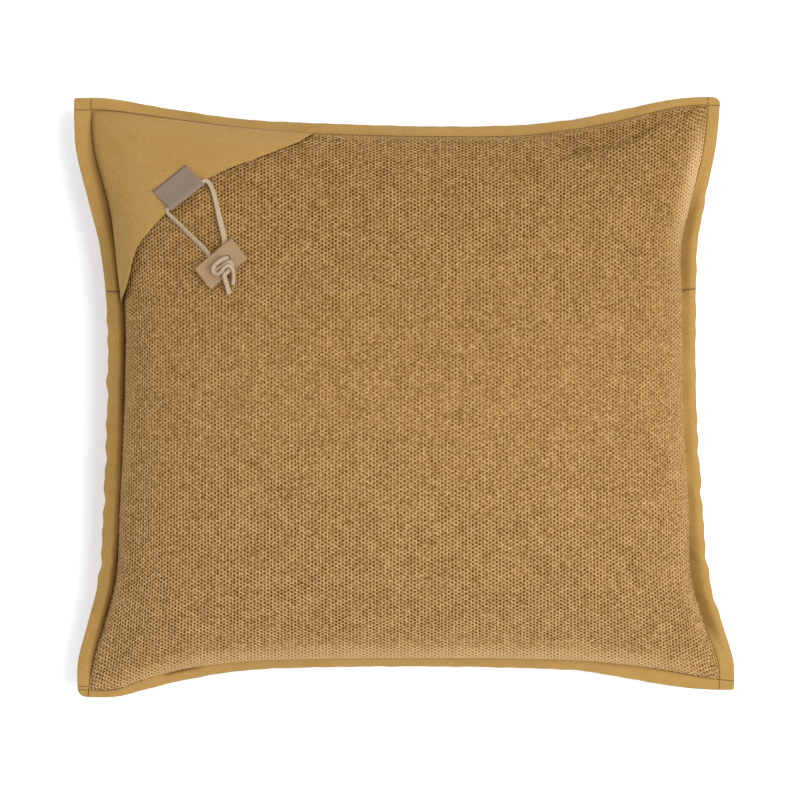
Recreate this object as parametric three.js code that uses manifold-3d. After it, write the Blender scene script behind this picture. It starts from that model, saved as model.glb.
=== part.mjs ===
// A square knitted cushion with a flat canvas border, lying on its back with the knitted face up.
// A canvas flap covers one corner, and a label, a cord and a leather toggle hang from the flap's edge.
// Lengths are in millimetres: +X is the face's right, +Y its top and +Z out of the face.
// The origin is on the surface that the cushion lies on, under the middle of its outline.
import * as THREE from "three";
import { mergeVertices } from "three/addons/utils/BufferGeometryUtils.js";
import Module from "manifold-3d";

const wasm = await Module();
wasm.setup();

// Clear distance between pieces that touch on the real cushion.
const GAP = 0.3;

// Corners of the border's outer edge, seen square on to the face, and how far each is rounded off.
const CORNERS = {
  bottomLeft: { x: -261, y: -240, round: 3 },
  bottomRight: { x: 263.8, y: -234.4, round: 0.5 },
  topLeft: { x: -263.8, y: 238.8, round: 0.5 },
  topRight: { x: 252.6, y: 239.6, round: 2.5 },
};

// The border's four sides. A row gives a place as a share of the side from its first corner to its second,
// how far the outer edge is drawn in there from the straight line, and how wide the border looks from above.
const SIDES = {
  bottom: {
    from: "bottomLeft",
    to: "bottomRight",
    inward: { x: 0, y: 1 },
    rows: [
      { along: 0.0, inset: 0.0, border: 6.0 },
      { along: 0.06, inset: 0.0, border: 6.0 },
      { along: 0.1, inset: 5.0, border: 8.3 },
      { along: 0.17, inset: 13.3, border: 9.2 },
      { along: 0.26, inset: 20.0, border: 8.0 },
      { along: 0.4, inset: 21.8, border: 7.6 },
      { along: 0.55, inset: 21.3, border: 7.6 },
      { along: 0.68, inset: 19.3, border: 8.6 },
      { along: 0.77, inset: 16.4, border: 9.2 },
      { along: 0.85, inset: 8.9, border: 11.9 },
      { along: 0.92, inset: 2.6, border: 11.6 },
      { along: 0.97, inset: 0.3, border: 9.6 },
      { along: 1.0, inset: 0.0, border: 9.4 },
    ],
  },
  top: {
    from: "topLeft",
    to: "topRight",
    inward: { x: 0, y: -1 },
    rows: [
      { along: 0.0, inset: 0.0, border: 10.6 },
      { along: 0.05, inset: 0.3, border: 10.2 },
      { along: 0.13, inset: 7.2, border: 8.8 },
      { along: 0.2, inset: 13.0, border: 7.8 },
      { along: 0.27, inset: 17.6, border: 7.6 },
      { along: 0.37, inset: 20.4, border: 9.2 },
      { along: 0.55, inset: 23.2, border: 9.0 },
      { along: 0.69, inset: 22.2, border: 9.6 },
      { along: 0.78, inset: 17.2, border: 9.0 },
      { along: 0.83, inset: 12.0, border: 9.6 },
      { along: 0.92, inset: 2.4, border: 7.6 },
      { along: 0.96, inset: 0.2, border: 7.0 },
      { along: 1.0, inset: 0.0, border: 7.2 },
    ],
  },
  left: {
    from: "bottomLeft",
    to: "topLeft",
    inward: { x: 1, y: 0 },
    rows: [
      { along: 0.0, inset: 0.0, border: 9.6 },
      { along: 0.06, inset: 0.5, border: 11.0 },
      { along: 0.12, inset: 8.0, border: 12.4 },
      { along: 0.2, inset: 17.6, border: 12.8 },
      { along: 0.33, inset: 22.1, border: 12.2 },
      { along: 0.5, inset: 25.2, border: 12.6 },
      { along: 0.64, inset: 25.4, border: 12.5 },
      { along: 0.75, inset: 20.0, border: 12.8 },
      { along: 0.83, inset: 10.8, border: 15.4 },
      { along: 0.91, inset: 1.6, border: 15.0 },
      { along: 0.96, inset: 0.0, border: 14.6 },
      { along: 1.0, inset: 0.0, border: 15.0 },
    ],
  },
  right: {
    from: "bottomRight",
    to: "topRight",
    inward: { x: -1, y: 0 },
    rows: [
      { along: 0.0, inset: 0.0, border: 13.4 },
      { along: 0.05, inset: 0.2, border: 12.8 },
      { along: 0.11, inset: 8.0, border: 13.0 },
      { along: 0.19, inset: 18.0, border: 13.0 },
      { along: 0.32, inset: 22.3, border: 10.2 },
      { along: 0.49, inset: 25.0, border: 10.2 },
      { along: 0.66, inset: 23.2, border: 10.8 },
      { along: 0.75, inset: 21.0, border: 12.6 },
      { along: 0.83, inset: 13.6, border: 11.2 },
      { along: 0.91, inset: 5.0, border: 11.2 },
      { along: 0.96, inset: 1.6, border: 11.0 },
      { along: 1.0, inset: 0.0, border: 11.0 },
    ],
  },
};

// The filled body. Without the surface under it, its back would hang by `sag` below the side seam.
// A fullness below 1 makes the crown flatter and the sides steeper. Troughs fade out towards the seam.
const BODY = {
  seamHeight: 64,
  cornerDrop: 14,
  crown: 86,
  sag: 90,
  flatBlend: 10,
  fullness: 0.85,
  troughFade: 4,
  columns: 36,
  rows: 34,
};

// Soft troughs in the knitted face, each along a straight line seen from above.
const TROUGHS = [
  { fromX: 226, fromY: 230, toX: 134, toY: 199.5, halfWidth: 9, depth: 11 },
  { fromX: 230, fromY: 200, toX: 204, toY: 128, halfWidth: 13, depth: 4 },
  { fromX: -244, fromY: -220, toX: -204, toY: -162, halfWidth: 14, depth: 3 },
  { fromX: 247, fromY: -216, toX: 205, toY: -162, halfWidth: 14, depth: 3 },
];

// The folded canvas border: cut width, thickness through its layers, and small puckers along its edge.
const BORDER = {
  width: 14,
  thickness: 2.6,
  puckerHeight: 1.2,
  puckerSpacing: 46,
  levelAtCorner: 0.16,
  step: 9,
  columns: 2,
};

// Place of the border's two side seams, as a share of the left and right sides from the bottom.
const SIDE_SEAM = 0.677;

// The corner flap and its free edge, from the top seam round to the left seam.
// It stops a small share of the swell's stations short of both seams, and short of the corner's tip.
const FLAP = { thickness: 1.2, clearance: 0.9, margin: 0.018, tip: 0.05, columns: 24, rows: 8 };
const FLAP_EDGE = [
  { x: -73, y: 209 },
  { x: -88, y: 201 },
  { x: -122, y: 187.5 },
  { x: -156, y: 173 },
  { x: -188, y: 146.7 },
  { x: -199.8, y: 133.2 },
  { x: -209.8, y: 118.6 },
  { x: -216.4, y: 94 },
  { x: -222, y: 72 },
];

// The folded tape label: its middle on the face, its long side's direction, and the fold that holds the cord.
// The cord pulls the fold along, so the label leans: it shifts by `lean` for each millimetre down its width.
const LABEL = {
  x: -178.4,
  y: 165.1,
  turn: 37,
  length: 33.8,
  width: 23.8,
  lean: 0.125,
  thickness: 1,
  tunnel: 1.8,
  pinch: 35,
};

// The leather toggle, tilted about its long side because it lies on the cord's legs, clear of the knit.
const TOGGLE = {
  x: -144.4,
  y: 105.1,
  turn: 38,
  length: 38.4,
  width: 21,
  thickness: 3,
  cornerRadius: 1,
  holeRadius: 2.6,
  holeSpacing: 13,
  tilt: 4,
  clearance: 2.8,
};

// The cord's two legs over the face: places seen from above, and the height of its middle over the knit.
const CORD = { diameter: 2.8, sides: 8, step: 3 };
const LEFT_LEG = [
  { x: -186.8, y: 147.8, lift: 5.2 },
  { x: -186.6, y: 145.5, lift: 4.4 },
  { x: -184.5, y: 143, lift: 3.6 },
  { x: -180.4, y: 139.2, lift: 2.4 },
  { x: -173, y: 131.6, lift: 1.9 },
  { x: -163.6, y: 122.2, lift: 1.9 },
  { x: -156, y: 114, lift: 1.9 },
];
const RIGHT_LEG = [
  { x: -156.6, y: 169.9, lift: 5.2 },
  { x: -154.4, y: 168.4, lift: 4.4 },
  { x: -152.6, y: 165.3, lift: 3.4 },
  { x: -150.8, y: 160, lift: 2.3 },
  { x: -148.4, y: 150.4, lift: 1.9 },
  { x: -145.5, y: 137.6, lift: 1.9 },
  { x: -142.3, y: 124.5, lift: 1.9 },
];
// Each leg's way from under the toggle up into its hole, from the hole's middle and the toggle's underside.
const INTO_HOLE = [
  { back: 5, above: -1.8 },
  { back: 1.3, above: -1.1 },
  { back: 0, above: 0.6 },
  { back: 0, above: 1.6 },
];

// The knot's two strands on the toggle: along its long side, across it to the lower right, and above its top.
const KNOT_STEP = 2.2;
const LEFT_STRAND = [
  { along: -6.5, across: 0, above: -1 },
  { along: -6.2, across: 0.5, above: 0.8 },
  { along: -4.4, across: 1.9, above: 1.9 },
  { along: -1, across: 2.6, above: 2.2 },
  { along: 3, across: 2.6, above: 2.3 },
  { along: 6.2, across: 3.8, above: 2.4 },
  { along: 6.8, across: 6.6, above: 2.4 },
  { along: 4.2, across: 8.6, above: 2.2 },
  { along: 0.4, across: 9, above: 2.4 },
  { along: -3, across: 9.6, above: 2.6 },
  { along: -4.6, across: 12, above: 1.6 },
  { along: -6, across: 14.8, above: -0.2 },
  { along: -7.6, across: 17.6, above: -2 },
  { along: -9, across: 20.4, above: -3.2 },
  { along: -9.6, across: 23.1, above: -3.6 },
];
const RIGHT_STRAND = [
  { along: 6.5, across: 0, above: -1 },
  { along: 6.3, across: -0.1, above: 1.6 },
  { along: 4.4, across: -0.6, above: 3.6 },
  { along: 0.6, across: -1, above: 4.4 },
  { along: -3.6, across: -1.1, above: 4.4 },
  { along: -7, across: 0.2, above: 3.8 },
  { along: -8, across: 2.8, above: 2.8 },
  { along: -6.4, across: 5.4, above: 3 },
  { along: -3, across: 6.2, above: 4.6 },
  { along: 1, across: 5.6, above: 5.6 },
  { along: 4.6, across: 6.4, above: 5.4 },
  { along: 5.4, across: 9, above: 4.6 },
  { along: 4, across: 12.2, above: 2.2 },
  { along: 0.8, across: 15.4, above: -0.6 },
  { along: -2.9, across: 18.6, above: -2.4 },
];

const MATERIALS = {
  knit: new THREE.MeshStandardMaterial({ color: 0xab8451, roughness: 0.95 }),
  canvas: new THREE.MeshStandardMaterial({ color: 0xb8934f, roughness: 0.85 }),
  tape: new THREE.MeshStandardMaterial({ color: 0x8d7a6c, roughness: 0.8 }),
  leather: new THREE.MeshStandardMaterial({ color: 0xab8d6d, roughness: 0.6 }),
  cord: new THREE.MeshStandardMaterial({ color: 0xc3b190, roughness: 0.9 }),
};

const UP = new THREE.Vector3(0, 0, 1);

// Points nearer than this are one point of a mesh.
const SAME_POINT = 1e-4;

// Reads one column of a side's table at a place along the side, on a smooth curve through its rows.
function readColumn(rows, column, along) {
  const first = THREE.MathUtils.clamp(rows.findLastIndex((row) => row.along <= along), 0, rows.length - 2);
  const slopeAt = (index) => {
    const before = rows[Math.max(index - 1, 0)];
    const after = rows[Math.min(index + 1, rows.length - 1)];
    return (after[column] - before[column]) / (after.along - before.along);
  };
  const [start, end] = [rows[first], rows[first + 1]];
  const span = end.along - start.along;
  const t = (along - start.along) / span;
  const bend = t * t * (3 - 2 * t);
  const leaving = t * (1 - t) * (1 - t) * span * slopeAt(first);
  const arriving = t * t * (t - 1) * span * slopeAt(first + 1);
  return start[column] + (end[column] - start[column]) * bend + leaving + arriving;
}

const cornerPoint = (name) => new THREE.Vector2(CORNERS[name].x, CORNERS[name].y);
const sideLength = (name) => cornerPoint(SIDES[name].from).distanceTo(cornerPoint(SIDES[name].to));
const borderAt = (side, along) => readColumn(SIDES[side].rows, "border", along);

// A seam corner lies in from the outer corner by the border of both sides that meet there.
function seamCorner(name, levelSide, levelAlong, uprightSide, uprightAlong) {
  return cornerPoint(name)
    .addScaledVector(SIDES[levelSide].inward, borderAt(levelSide, levelAlong))
    .addScaledVector(SIDES[uprightSide].inward, borderAt(uprightSide, uprightAlong));
}

const SEAM_CORNERS = {
  bottomLeft: seamCorner("bottomLeft", "bottom", 0, "left", 0),
  bottomRight: seamCorner("bottomRight", "bottom", 1, "right", 0),
  topLeft: seamCorner("topLeft", "top", 0, "left", 1),
  topRight: seamCorner("topRight", "top", 1, "right", 1),
};

// A point on the border seen from above: depth 0 is its outer edge and depth 1 the seam.
function borderPlan(name, station, depth) {
  const side = SIDES[name];
  const [from, to] = [cornerPoint(side.from), cornerPoint(side.to)];
  const line = to.clone().sub(from);
  const alongOf = (corner) => corner.clone().sub(from).dot(line) / line.lengthSq();
  const firstAlong = alongOf(SEAM_CORNERS[side.from]);
  const lastAlong = alongOf(SEAM_CORNERS[side.to]);
  const drawnIn = (along, share) =>
    from
      .clone()
      .lerp(to, along)
      .addScaledVector(side.inward, readColumn(side.rows, "inset", along) + share * borderAt(name, along));
  const firstMiss = SEAM_CORNERS[side.from].clone().sub(drawnIn(firstAlong, 1));
  const lastMiss = SEAM_CORNERS[side.to].clone().sub(drawnIn(lastAlong, 1));
  const seamAlong = THREE.MathUtils.lerp(firstAlong, lastAlong, station);
  const seam = drawnIn(seamAlong, 1).add(firstMiss.lerp(lastMiss, station));
  const outer = drawnIn(station, 0);
  if (station === 0) outer.lerp(seam, CORNERS[side.from].round / outer.distanceTo(seam));
  if (station === 1) outer.lerp(seam, CORNERS[side.to].round / outer.distanceTo(seam));
  return outer.lerp(seam, depth);
}

const seamLine = (name, station) => borderPlan(name, station, 1);

// The body seen from above: a patch between the four seams, with shares across and up.
function bodyPlan(across, up) {
  const ruledUp = seamLine("bottom", across).lerp(seamLine("top", across), up);
  const ruledAcross = seamLine("left", up).lerp(seamLine("right", up), across);
  const low = SEAM_CORNERS.bottomLeft.clone().lerp(SEAM_CORNERS.bottomRight, across);
  const high = SEAM_CORNERS.topLeft.clone().lerp(SEAM_CORNERS.topRight, across);
  return ruledUp.add(ruledAcross).sub(low.lerp(high, up));
}

function seamHeight(across, up) {
  return BODY.seamHeight - BODY.cornerDrop * (2 * across - 1) ** 2 * (2 * up - 1) ** 2;
}

function troughDepth(x, y) {
  const place = new THREE.Vector3(x, y, 0);
  return TROUGHS.reduce((sum, row) => {
    const line = new THREE.Line3(
      new THREE.Vector3(row.fromX, row.fromY, 0),
      new THREE.Vector3(row.toX, row.toY, 0),
    );
    const away = line.closestPointToPoint(place, true, new THREE.Vector3()).distanceTo(place);
    return sum + row.depth * Math.exp(-((away / row.halfWidth) ** 2));
  }, 0);
}

// Stations u and v run from 0 to 1 round the body's swell, so they close up where its sides are steep.
const swellAngle = (station) => Math.PI * (station - 0.5);
const shareAt = (station) => 0.5 + 0.5 * Math.sin(swellAngle(station));
const stationAt = (share) => 0.5 + Math.asin(THREE.MathUtils.clamp(2 * share - 1, -1, 1)) / Math.PI;

function swell(u, v) {
  const level = Math.max(0, Math.cos(swellAngle(u)) * Math.cos(swellAngle(v)));
  return level ** BODY.fullness;
}

function frontPoint(u, v) {
  const [across, up] = [shareAt(u), shareAt(v)];
  const plan = bodyPlan(across, up);
  const rise = swell(u, v);
  const trough = troughDepth(plan.x, plan.y) * Math.min(1, BODY.troughFade * rise);
  return new THREE.Vector3(plan.x, plan.y, seamHeight(across, up) + BODY.crown * rise - trough);
}

// The back is level where the cushion rests, and rounds off into that flat spot.
function restOnSurface(height) {
  if (height <= -BODY.flatBlend) return 0;
  if (height >= BODY.flatBlend) return height;
  return (height + BODY.flatBlend) ** 2 / (4 * BODY.flatBlend);
}

function backPoint(u, v) {
  const [across, up] = [shareAt(u), shareAt(v)];
  const plan = bodyPlan(across, up);
  return new THREE.Vector3(plan.x, plan.y, restOnSurface(seamHeight(across, up) - BODY.sag * swell(u, v)));
}

function frontNormal(u, v) {
  const small = 0.002;
  const acrossStep = frontPoint(u + small, v).sub(frontPoint(u - small, v));
  const upStep = frontPoint(u, v + small).sub(frontPoint(u, v - small));
  return acrossStep.cross(upStep).normalize();
}

// Finds the stations of the face under a place seen from above.
function stationsUnder(x, y) {
  const share = new THREE.Vector2(0.5, 0.5);
  const wide = SEAM_CORNERS.topRight.x - SEAM_CORNERS.topLeft.x;
  const high = SEAM_CORNERS.topLeft.y - SEAM_CORNERS.bottomLeft.y;
  const passes = 30;
  for (let pass = 0; pass < passes; pass++) {
    const plan = bodyPlan(share.x, share.y);
    share.x = THREE.MathUtils.clamp(share.x + (x - plan.x) / wide, 0, 1);
    share.y = THREE.MathUtils.clamp(share.y + (y - plan.y) / high, 0, 1);
  }
  return new THREE.Vector2(stationAt(share.x), stationAt(share.y));
}

// A place over the face: its point raised by `lift` square to the knit.
function overFace(x, y, lift) {
  const { x: u, y: v } = stationsUnder(x, y);
  return frontPoint(u, v).addScaledVector(frontNormal(u, v), lift);
}

// Triangles between rows of points, facing the side that sees the rows turn anticlockwise.
function net(rows, turned = false) {
  const corners = [];
  for (let j = 0; j + 1 < rows.length; j++) {
    for (let i = 0; i + 1 < rows[j].length; i++) {
      const [a, b, c, d] = [rows[j][i], rows[j][i + 1], rows[j + 1][i + 1], rows[j + 1][i]];
      corners.push(...(turned ? [a, c, b, a, d, c] : [a, b, c, a, c, d]));
    }
  }
  return corners;
}

function closedGeometry(corners) {
  const soup = new THREE.BufferGeometry().setFromPoints(corners);
  const closed = mergeVertices(soup, SAME_POINT);
  closed.computeVertexNormals();
  return closed;
}

function grid(columns, rows, pointAt) {
  return Array.from({ length: rows + 1 }, (_, j) =>
    Array.from({ length: columns + 1 }, (_, i) => pointAt(i / columns, j / rows)),
  );
}

// A sheet of cloth between two nets of points, closed along its four edges.
function sheetGeometry(lower, upper) {
  const columnOf = (rows, index) => rows.map((row) => row.at(index));
  return closedGeometry([
    ...net(upper),
    ...net(lower, true),
    ...net([lower[0], upper[0]]),
    ...net([upper.at(-1), lower.at(-1)]),
    ...net([columnOf(upper, 0), columnOf(lower, 0)]),
    ...net([columnOf(lower, -1), columnOf(upper, -1)]),
  ]);
}

function cushionBody() {
  const front = grid(BODY.columns, BODY.rows, frontPoint);
  const back = grid(BODY.columns, BODY.rows, backPoint);
  return closedGeometry([...net(front), ...net(back, true)]);
}

// The middle of the border's thickness. It droops where it looks narrower than its cut width.
function borderPoint(name, station, depth) {
  const clearDepth = depth * (1 - GAP / borderAt(name, station));
  const plan = borderPlan(name, station, clearDepth);
  const [across, up] = {
    bottom: [station, 0],
    top: [station, 1],
    left: [0, station],
    right: [1, station],
  }[name];
  const cornerShare = Math.min(1, station / BORDER.levelAtCorner, (1 - station) / BORDER.levelAtCorner);
  const awayFromCorner = THREE.MathUtils.smoothstep(cornerShare, 0, 1);
  const droop = Math.sqrt(Math.max(0, BORDER.width ** 2 - borderAt(name, station) ** 2));
  const puckers = (station * sideLength(name)) / BORDER.puckerSpacing;
  const pucker = BORDER.puckerHeight * Math.sin(2 * Math.PI * puckers);
  const drop = (pucker - droop) * awayFromCorner * (1 - depth);
  return new THREE.Vector3(plan.x, plan.y, seamHeight(across, up) + drop);
}

// One border strip along runs of sides, each run from one station to another, clockwise seen from above.
function border(runs) {
  const stations = runs.flatMap(({ side, from, to }, runIndex) => {
    const steps = Math.round((sideLength(side) * Math.abs(to - from)) / BORDER.step);
    const all = Array.from({ length: steps + 1 }, (_, k) => ({
      side,
      station: THREE.MathUtils.lerp(from, to, k / steps),
    }));
    return runIndex ? all.slice(1) : all;
  });
  const layer = (offset) =>
    Array.from({ length: BORDER.columns + 1 }, (_, j) =>
      stations.map(({ side, station }) =>
        borderPoint(side, station, 1 - j / BORDER.columns).addScaledVector(UP, offset),
      ),
    );
  return sheetGeometry(layer(-BORDER.thickness / 2), layer(BORDER.thickness / 2));
}

function cornerFlap() {
  const edge = new THREE.CatmullRomCurve3(FLAP_EDGE.map(({ x, y }) => new THREE.Vector3(x, y, 0)));
  const tip = new THREE.Vector2(FLAP.margin, 1 - FLAP.margin);
  const layer = (lift) =>
    grid(FLAP.columns, FLAP.rows, (along, outward) => {
      const { x, y } = edge.getPointAt(along);
      const end = stationsUnder(x, y).clamp(
        new THREE.Vector2(FLAP.margin, 0),
        new THREE.Vector2(1, 1 - FLAP.margin),
      );
      const place = tip.clone().lerp(end, THREE.MathUtils.lerp(FLAP.tip, 1, outward));
      return frontPoint(place.x, place.y).addScaledVector(frontNormal(place.x, place.y), lift);
    });
  return sheetGeometry(layer(FLAP.clearance), layer(FLAP.clearance + FLAP.thickness));
}

// A frame for a flat piece on the face: X along its long side, Y up the face and Z off it.
// It is raised until every part of its underside clears the face by `clear`.
function seatedFrame({ x, y, turn, length, width, tilt = 0 }, clear) {
  const { x: u, y: v } = stationsUnder(x, y);
  const middle = frontPoint(u, v);
  const off = frontNormal(u, v);
  const angle = THREE.MathUtils.degToRad(turn);
  const long = new THREE.Vector3(Math.cos(angle), Math.sin(angle), 0).projectOnPlane(off).normalize();
  off.applyAxisAngle(long, THREE.MathUtils.degToRad(tilt));
  const short = off.clone().cross(long);
  const edgeSteps = [-0.5, -0.25, 0, 0.25, 0.5];
  const heights = edgeSteps.flatMap((i) =>
    edgeSteps.map((j) => {
      const under = middle.clone().addScaledVector(long, i * length).addScaledVector(short, j * width);
      return overFace(under.x, under.y, clear).sub(middle).dot(off);
    }),
  );
  const frame = new THREE.Matrix4().makeBasis(long, short, off);
  return frame.setPosition(middle.addScaledVector(off, Math.max(...heights)));
}

const LABEL_FRAME = seatedFrame(LABEL, FLAP.clearance + FLAP.thickness + GAP).multiply(
  new THREE.Matrix4().makeShear(0, 0, -LABEL.lean, 0, 0, 0),
);
const TOGGLE_FRAME = seatedFrame(TOGGLE, TOGGLE.clearance);

// The tunnel of the label's fold, seen along the label, from the label's own middle and underside.
const TUNNEL = {
  radius: LABEL.tunnel + LABEL.thickness / 2,
  y: -LABEL.width / 2 + LABEL.tunnel + LABEL.thickness,
  z: LABEL.tunnel + LABEL.thickness,
};

// A tape folded once: the lower layer, round the tunnel, and the upper layer back to the sewn edge.
function label() {
  const sewnEdge = LABEL.width / 2;
  const lowerLayer = LABEL.thickness / 2;
  const upperLayer = lowerLayer + LABEL.thickness + GAP;
  const foldSteps = 14;
  const pinch = THREE.MathUtils.degToRad(LABEL.pinch);
  const fold = Array.from({ length: foldSteps + 1 }, (_, k) => {
    const angle = -Math.PI / 2 - (k / foldSteps) * (Math.PI + pinch);
    return new THREE.Vector2(TUNNEL.y, TUNNEL.z).add(
      new THREE.Vector2(Math.cos(angle), Math.sin(angle)).multiplyScalar(TUNNEL.radius),
    );
  });
  const foldEnd = fold.at(-1);
  const middle = [
    new THREE.Vector2(sewnEdge, lowerLayer),
    ...fold,
    new THREE.Vector2(foldEnd.x + (foldEnd.y - upperLayer) / Math.tan(pinch), upperLayer),
    new THREE.Vector2(sewnEdge, upperLayer),
  ];
  const offsetBy = (distance) =>
    middle.map((point, k) => {
      const before = middle[Math.max(k - 1, 0)];
      const after = middle[Math.min(k + 1, middle.length - 1)];
      const away = after.clone().sub(before).normalize();
      return new THREE.Vector2(point.x + away.y * distance, point.y - away.x * distance);
    });
  const halfThick = LABEL.thickness / 2;
  const outline = new THREE.Shape([...offsetBy(halfThick), ...offsetBy(-halfThick).reverse()]);
  const tape = new THREE.ExtrudeGeometry(outline, { depth: LABEL.length, bevelEnabled: false });
  tape.translate(0, 0, -LABEL.length / 2);
  const alongLabel = new THREE.Matrix4().makeBasis(
    new THREE.Vector3(0, 1, 0),
    new THREE.Vector3(0, 0, 1),
    new THREE.Vector3(1, 0, 0),
  );
  return tape.applyMatrix4(alongLabel).applyMatrix4(LABEL_FRAME);
}

function toggle() {
  const [halfLong, halfShort] = [TOGGLE.length / 2, TOGGLE.width / 2];
  const radius = TOGGLE.cornerRadius;
  const plate = new THREE.Shape()
    .absarc(halfLong - radius, halfShort - radius, radius, 0, Math.PI / 2)
    .absarc(-halfLong + radius, halfShort - radius, radius, Math.PI / 2, Math.PI)
    .absarc(-halfLong + radius, -halfShort + radius, radius, Math.PI, 1.5 * Math.PI)
    .absarc(halfLong - radius, -halfShort + radius, radius, 1.5 * Math.PI, 2 * Math.PI);
  for (const side of [-1, 1]) {
    const holeX = (side * TOGGLE.holeSpacing) / 2;
    plate.holes.push(new THREE.Path().absarc(holeX, 0, TOGGLE.holeRadius, 0, 2 * Math.PI));
  }
  const leather = new THREE.ExtrudeGeometry(plate, {
    depth: TOGGLE.thickness,
    bevelEnabled: false,
    curveSegments: 6,
  });
  return leather.applyMatrix4(TOGGLE_FRAME);
}

function tube(points, step) {
  const route = new THREE.CatmullRomCurve3(points);
  const section = new THREE.Shape().absarc(0, 0, CORD.diameter / 2, 0, 2 * Math.PI);
  return new THREE.ExtrudeGeometry(section, {
    steps: Math.round(route.getLength() / step),
    extrudePath: route,
    curveSegments: CORD.sides / 2,
    bevelEnabled: false,
  });
}

// One leg of the cord: from the middle of the label's tunnel, over the face and up into its hole.
function cordLeg(side, overKnit) {
  const inLabel = [GAP / 2, LABEL.length / 4, LABEL.length / 2].map((x) =>
    new THREE.Vector3(side * x, TUNNEL.y, TUNNEL.z).applyMatrix4(LABEL_FRAME),
  );
  const acrossFace = overKnit.map(({ x, y, lift }) => overFace(x, y, lift));
  const intoHole = INTO_HOLE.map(({ back, above }) =>
    new THREE.Vector3((side * TOGGLE.holeSpacing) / 2, back, above).applyMatrix4(TOGGLE_FRAME),
  );
  return tube([...inLabel, ...acrossFace, ...intoHole], CORD.step);
}

function solidOf(geometry) {
  const bare = geometry.clone();
  bare.deleteAttribute("normal");
  bare.deleteAttribute("uv");
  const merged = mergeVertices(bare, SAME_POINT);
  return new wasm.Manifold(
    new wasm.Mesh({
      numProp: 3,
      vertProperties: merged.getAttribute("position").array,
      triVerts: new Uint32Array(merged.index.array),
    }),
  );
}

// The knot's two strands, each from its hole in the toggle to its free tail, drawn tight into one another.
function knot() {
  const strands = [LEFT_STRAND, RIGHT_STRAND].map((rows) => {
    const points = rows.map(
      ({ along, across, above }) => new THREE.Vector3(along, -across, TOGGLE.thickness + above),
    );
    return solidOf(tube(points, KNOT_STEP).applyMatrix4(TOGGLE_FRAME));
  });
  const { vertProperties, triVerts } = strands[0].add(strands[1]).getMesh();
  const joined = new THREE.BufferGeometry();
  joined.setAttribute("position", new THREE.BufferAttribute(vertProperties, 3));
  joined.setIndex(new THREE.BufferAttribute(triVerts, 1));
  joined.computeVertexNormals();
  return joined;
}

const LOWER_SEAM = SIDE_SEAM - GAP / sideLength("left");
const cushion = new THREE.Group();

function addPiece(name, geometry, material) {
  const piece = new THREE.Mesh(geometry, material);
  piece.name = name;
  cushion.add(piece);
}

addPiece("cushion_body", cushionBody(), MATERIALS.knit);
addPiece(
  "border_upper",
  border([
    { side: "left", from: SIDE_SEAM, to: 1 },
    { side: "top", from: 0, to: 1 },
    { side: "right", from: 1, to: SIDE_SEAM },
  ]),
  MATERIALS.canvas,
);
addPiece(
  "border_lower",
  border([
    { side: "right", from: LOWER_SEAM, to: 0 },
    { side: "bottom", from: 1, to: 0 },
    { side: "left", from: 0, to: LOWER_SEAM },
  ]),
  MATERIALS.canvas,
);
addPiece("corner_flap", cornerFlap(), MATERIALS.canvas);
addPiece("label", label(), MATERIALS.tape);
addPiece("cord_left", cordLeg(-1, LEFT_LEG), MATERIALS.cord);
addPiece("cord_right", cordLeg(1, RIGHT_LEG), MATERIALS.cord);
addPiece("toggle", toggle(), MATERIALS.leather);
addPiece("knot", knot(), MATERIALS.cord);

export default cushion;
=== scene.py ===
"""Dresses the frame of a knitted cushion: knit, canvas border and flap, bare label, tied cord and toggle."""
import math
from collections import namedtuple

import bpy
import numpy as np
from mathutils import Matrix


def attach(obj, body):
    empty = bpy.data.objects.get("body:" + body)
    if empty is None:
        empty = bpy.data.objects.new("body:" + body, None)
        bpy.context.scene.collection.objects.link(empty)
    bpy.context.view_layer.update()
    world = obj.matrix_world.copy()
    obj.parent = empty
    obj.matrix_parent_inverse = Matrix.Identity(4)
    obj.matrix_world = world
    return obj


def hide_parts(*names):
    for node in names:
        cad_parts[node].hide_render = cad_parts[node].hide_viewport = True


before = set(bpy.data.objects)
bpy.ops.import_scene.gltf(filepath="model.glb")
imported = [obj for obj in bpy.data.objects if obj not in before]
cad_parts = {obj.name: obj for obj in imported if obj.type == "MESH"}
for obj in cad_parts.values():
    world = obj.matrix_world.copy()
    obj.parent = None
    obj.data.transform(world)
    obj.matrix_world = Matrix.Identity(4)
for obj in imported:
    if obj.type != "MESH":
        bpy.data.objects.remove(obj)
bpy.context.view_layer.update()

# Sizes are in metres. +X is the face's right, +Y its top and +Z out of the face, as in the frame.
UP = np.array([0.0, 0.0, 1.0])
MM_PER_METRE = 1000
BODY_NAME = "root"

# The camera looks straight down on the face, from far off so that heights hardly shift what it sees.
# The picture is as wide as SEEN_WIDTH at the height of the side seam.
CAMERA = {"x": -0.0034, "y": -0.0026, "height": 12.0, "sensor_mm": 36.0, "clip_end": 50.0}
SEEN_WIDTH = 0.6385
SEEN_LEVEL = 0.064
FLOOR_HALF = 10.0

# Outer corners of the border, and how far from each the edge starts to round off.
CORNERS = {
    "bottom_left": {"x": -0.2610, "y": -0.2400, "cut": 0.0085},
    "bottom_right": {"x": 0.2638, "y": -0.2344, "cut": 0.0015},
    "top_left": {"x": -0.2638, "y": 0.2388, "cut": 0.0015},
    "top_right": {"x": 0.2526, "y": 0.2396, "cut": 0.0070},
}

Side = namedtuple("Side", "first last inward along inset border")


def side_table(first, last, inward, rows):
    """One side of the border. A row is a share of the way along, the outer edge's inset and the width."""
    along, inset, border = np.array(rows).T
    return Side(first, last, np.array(inward, float), along, inset, border)


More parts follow.
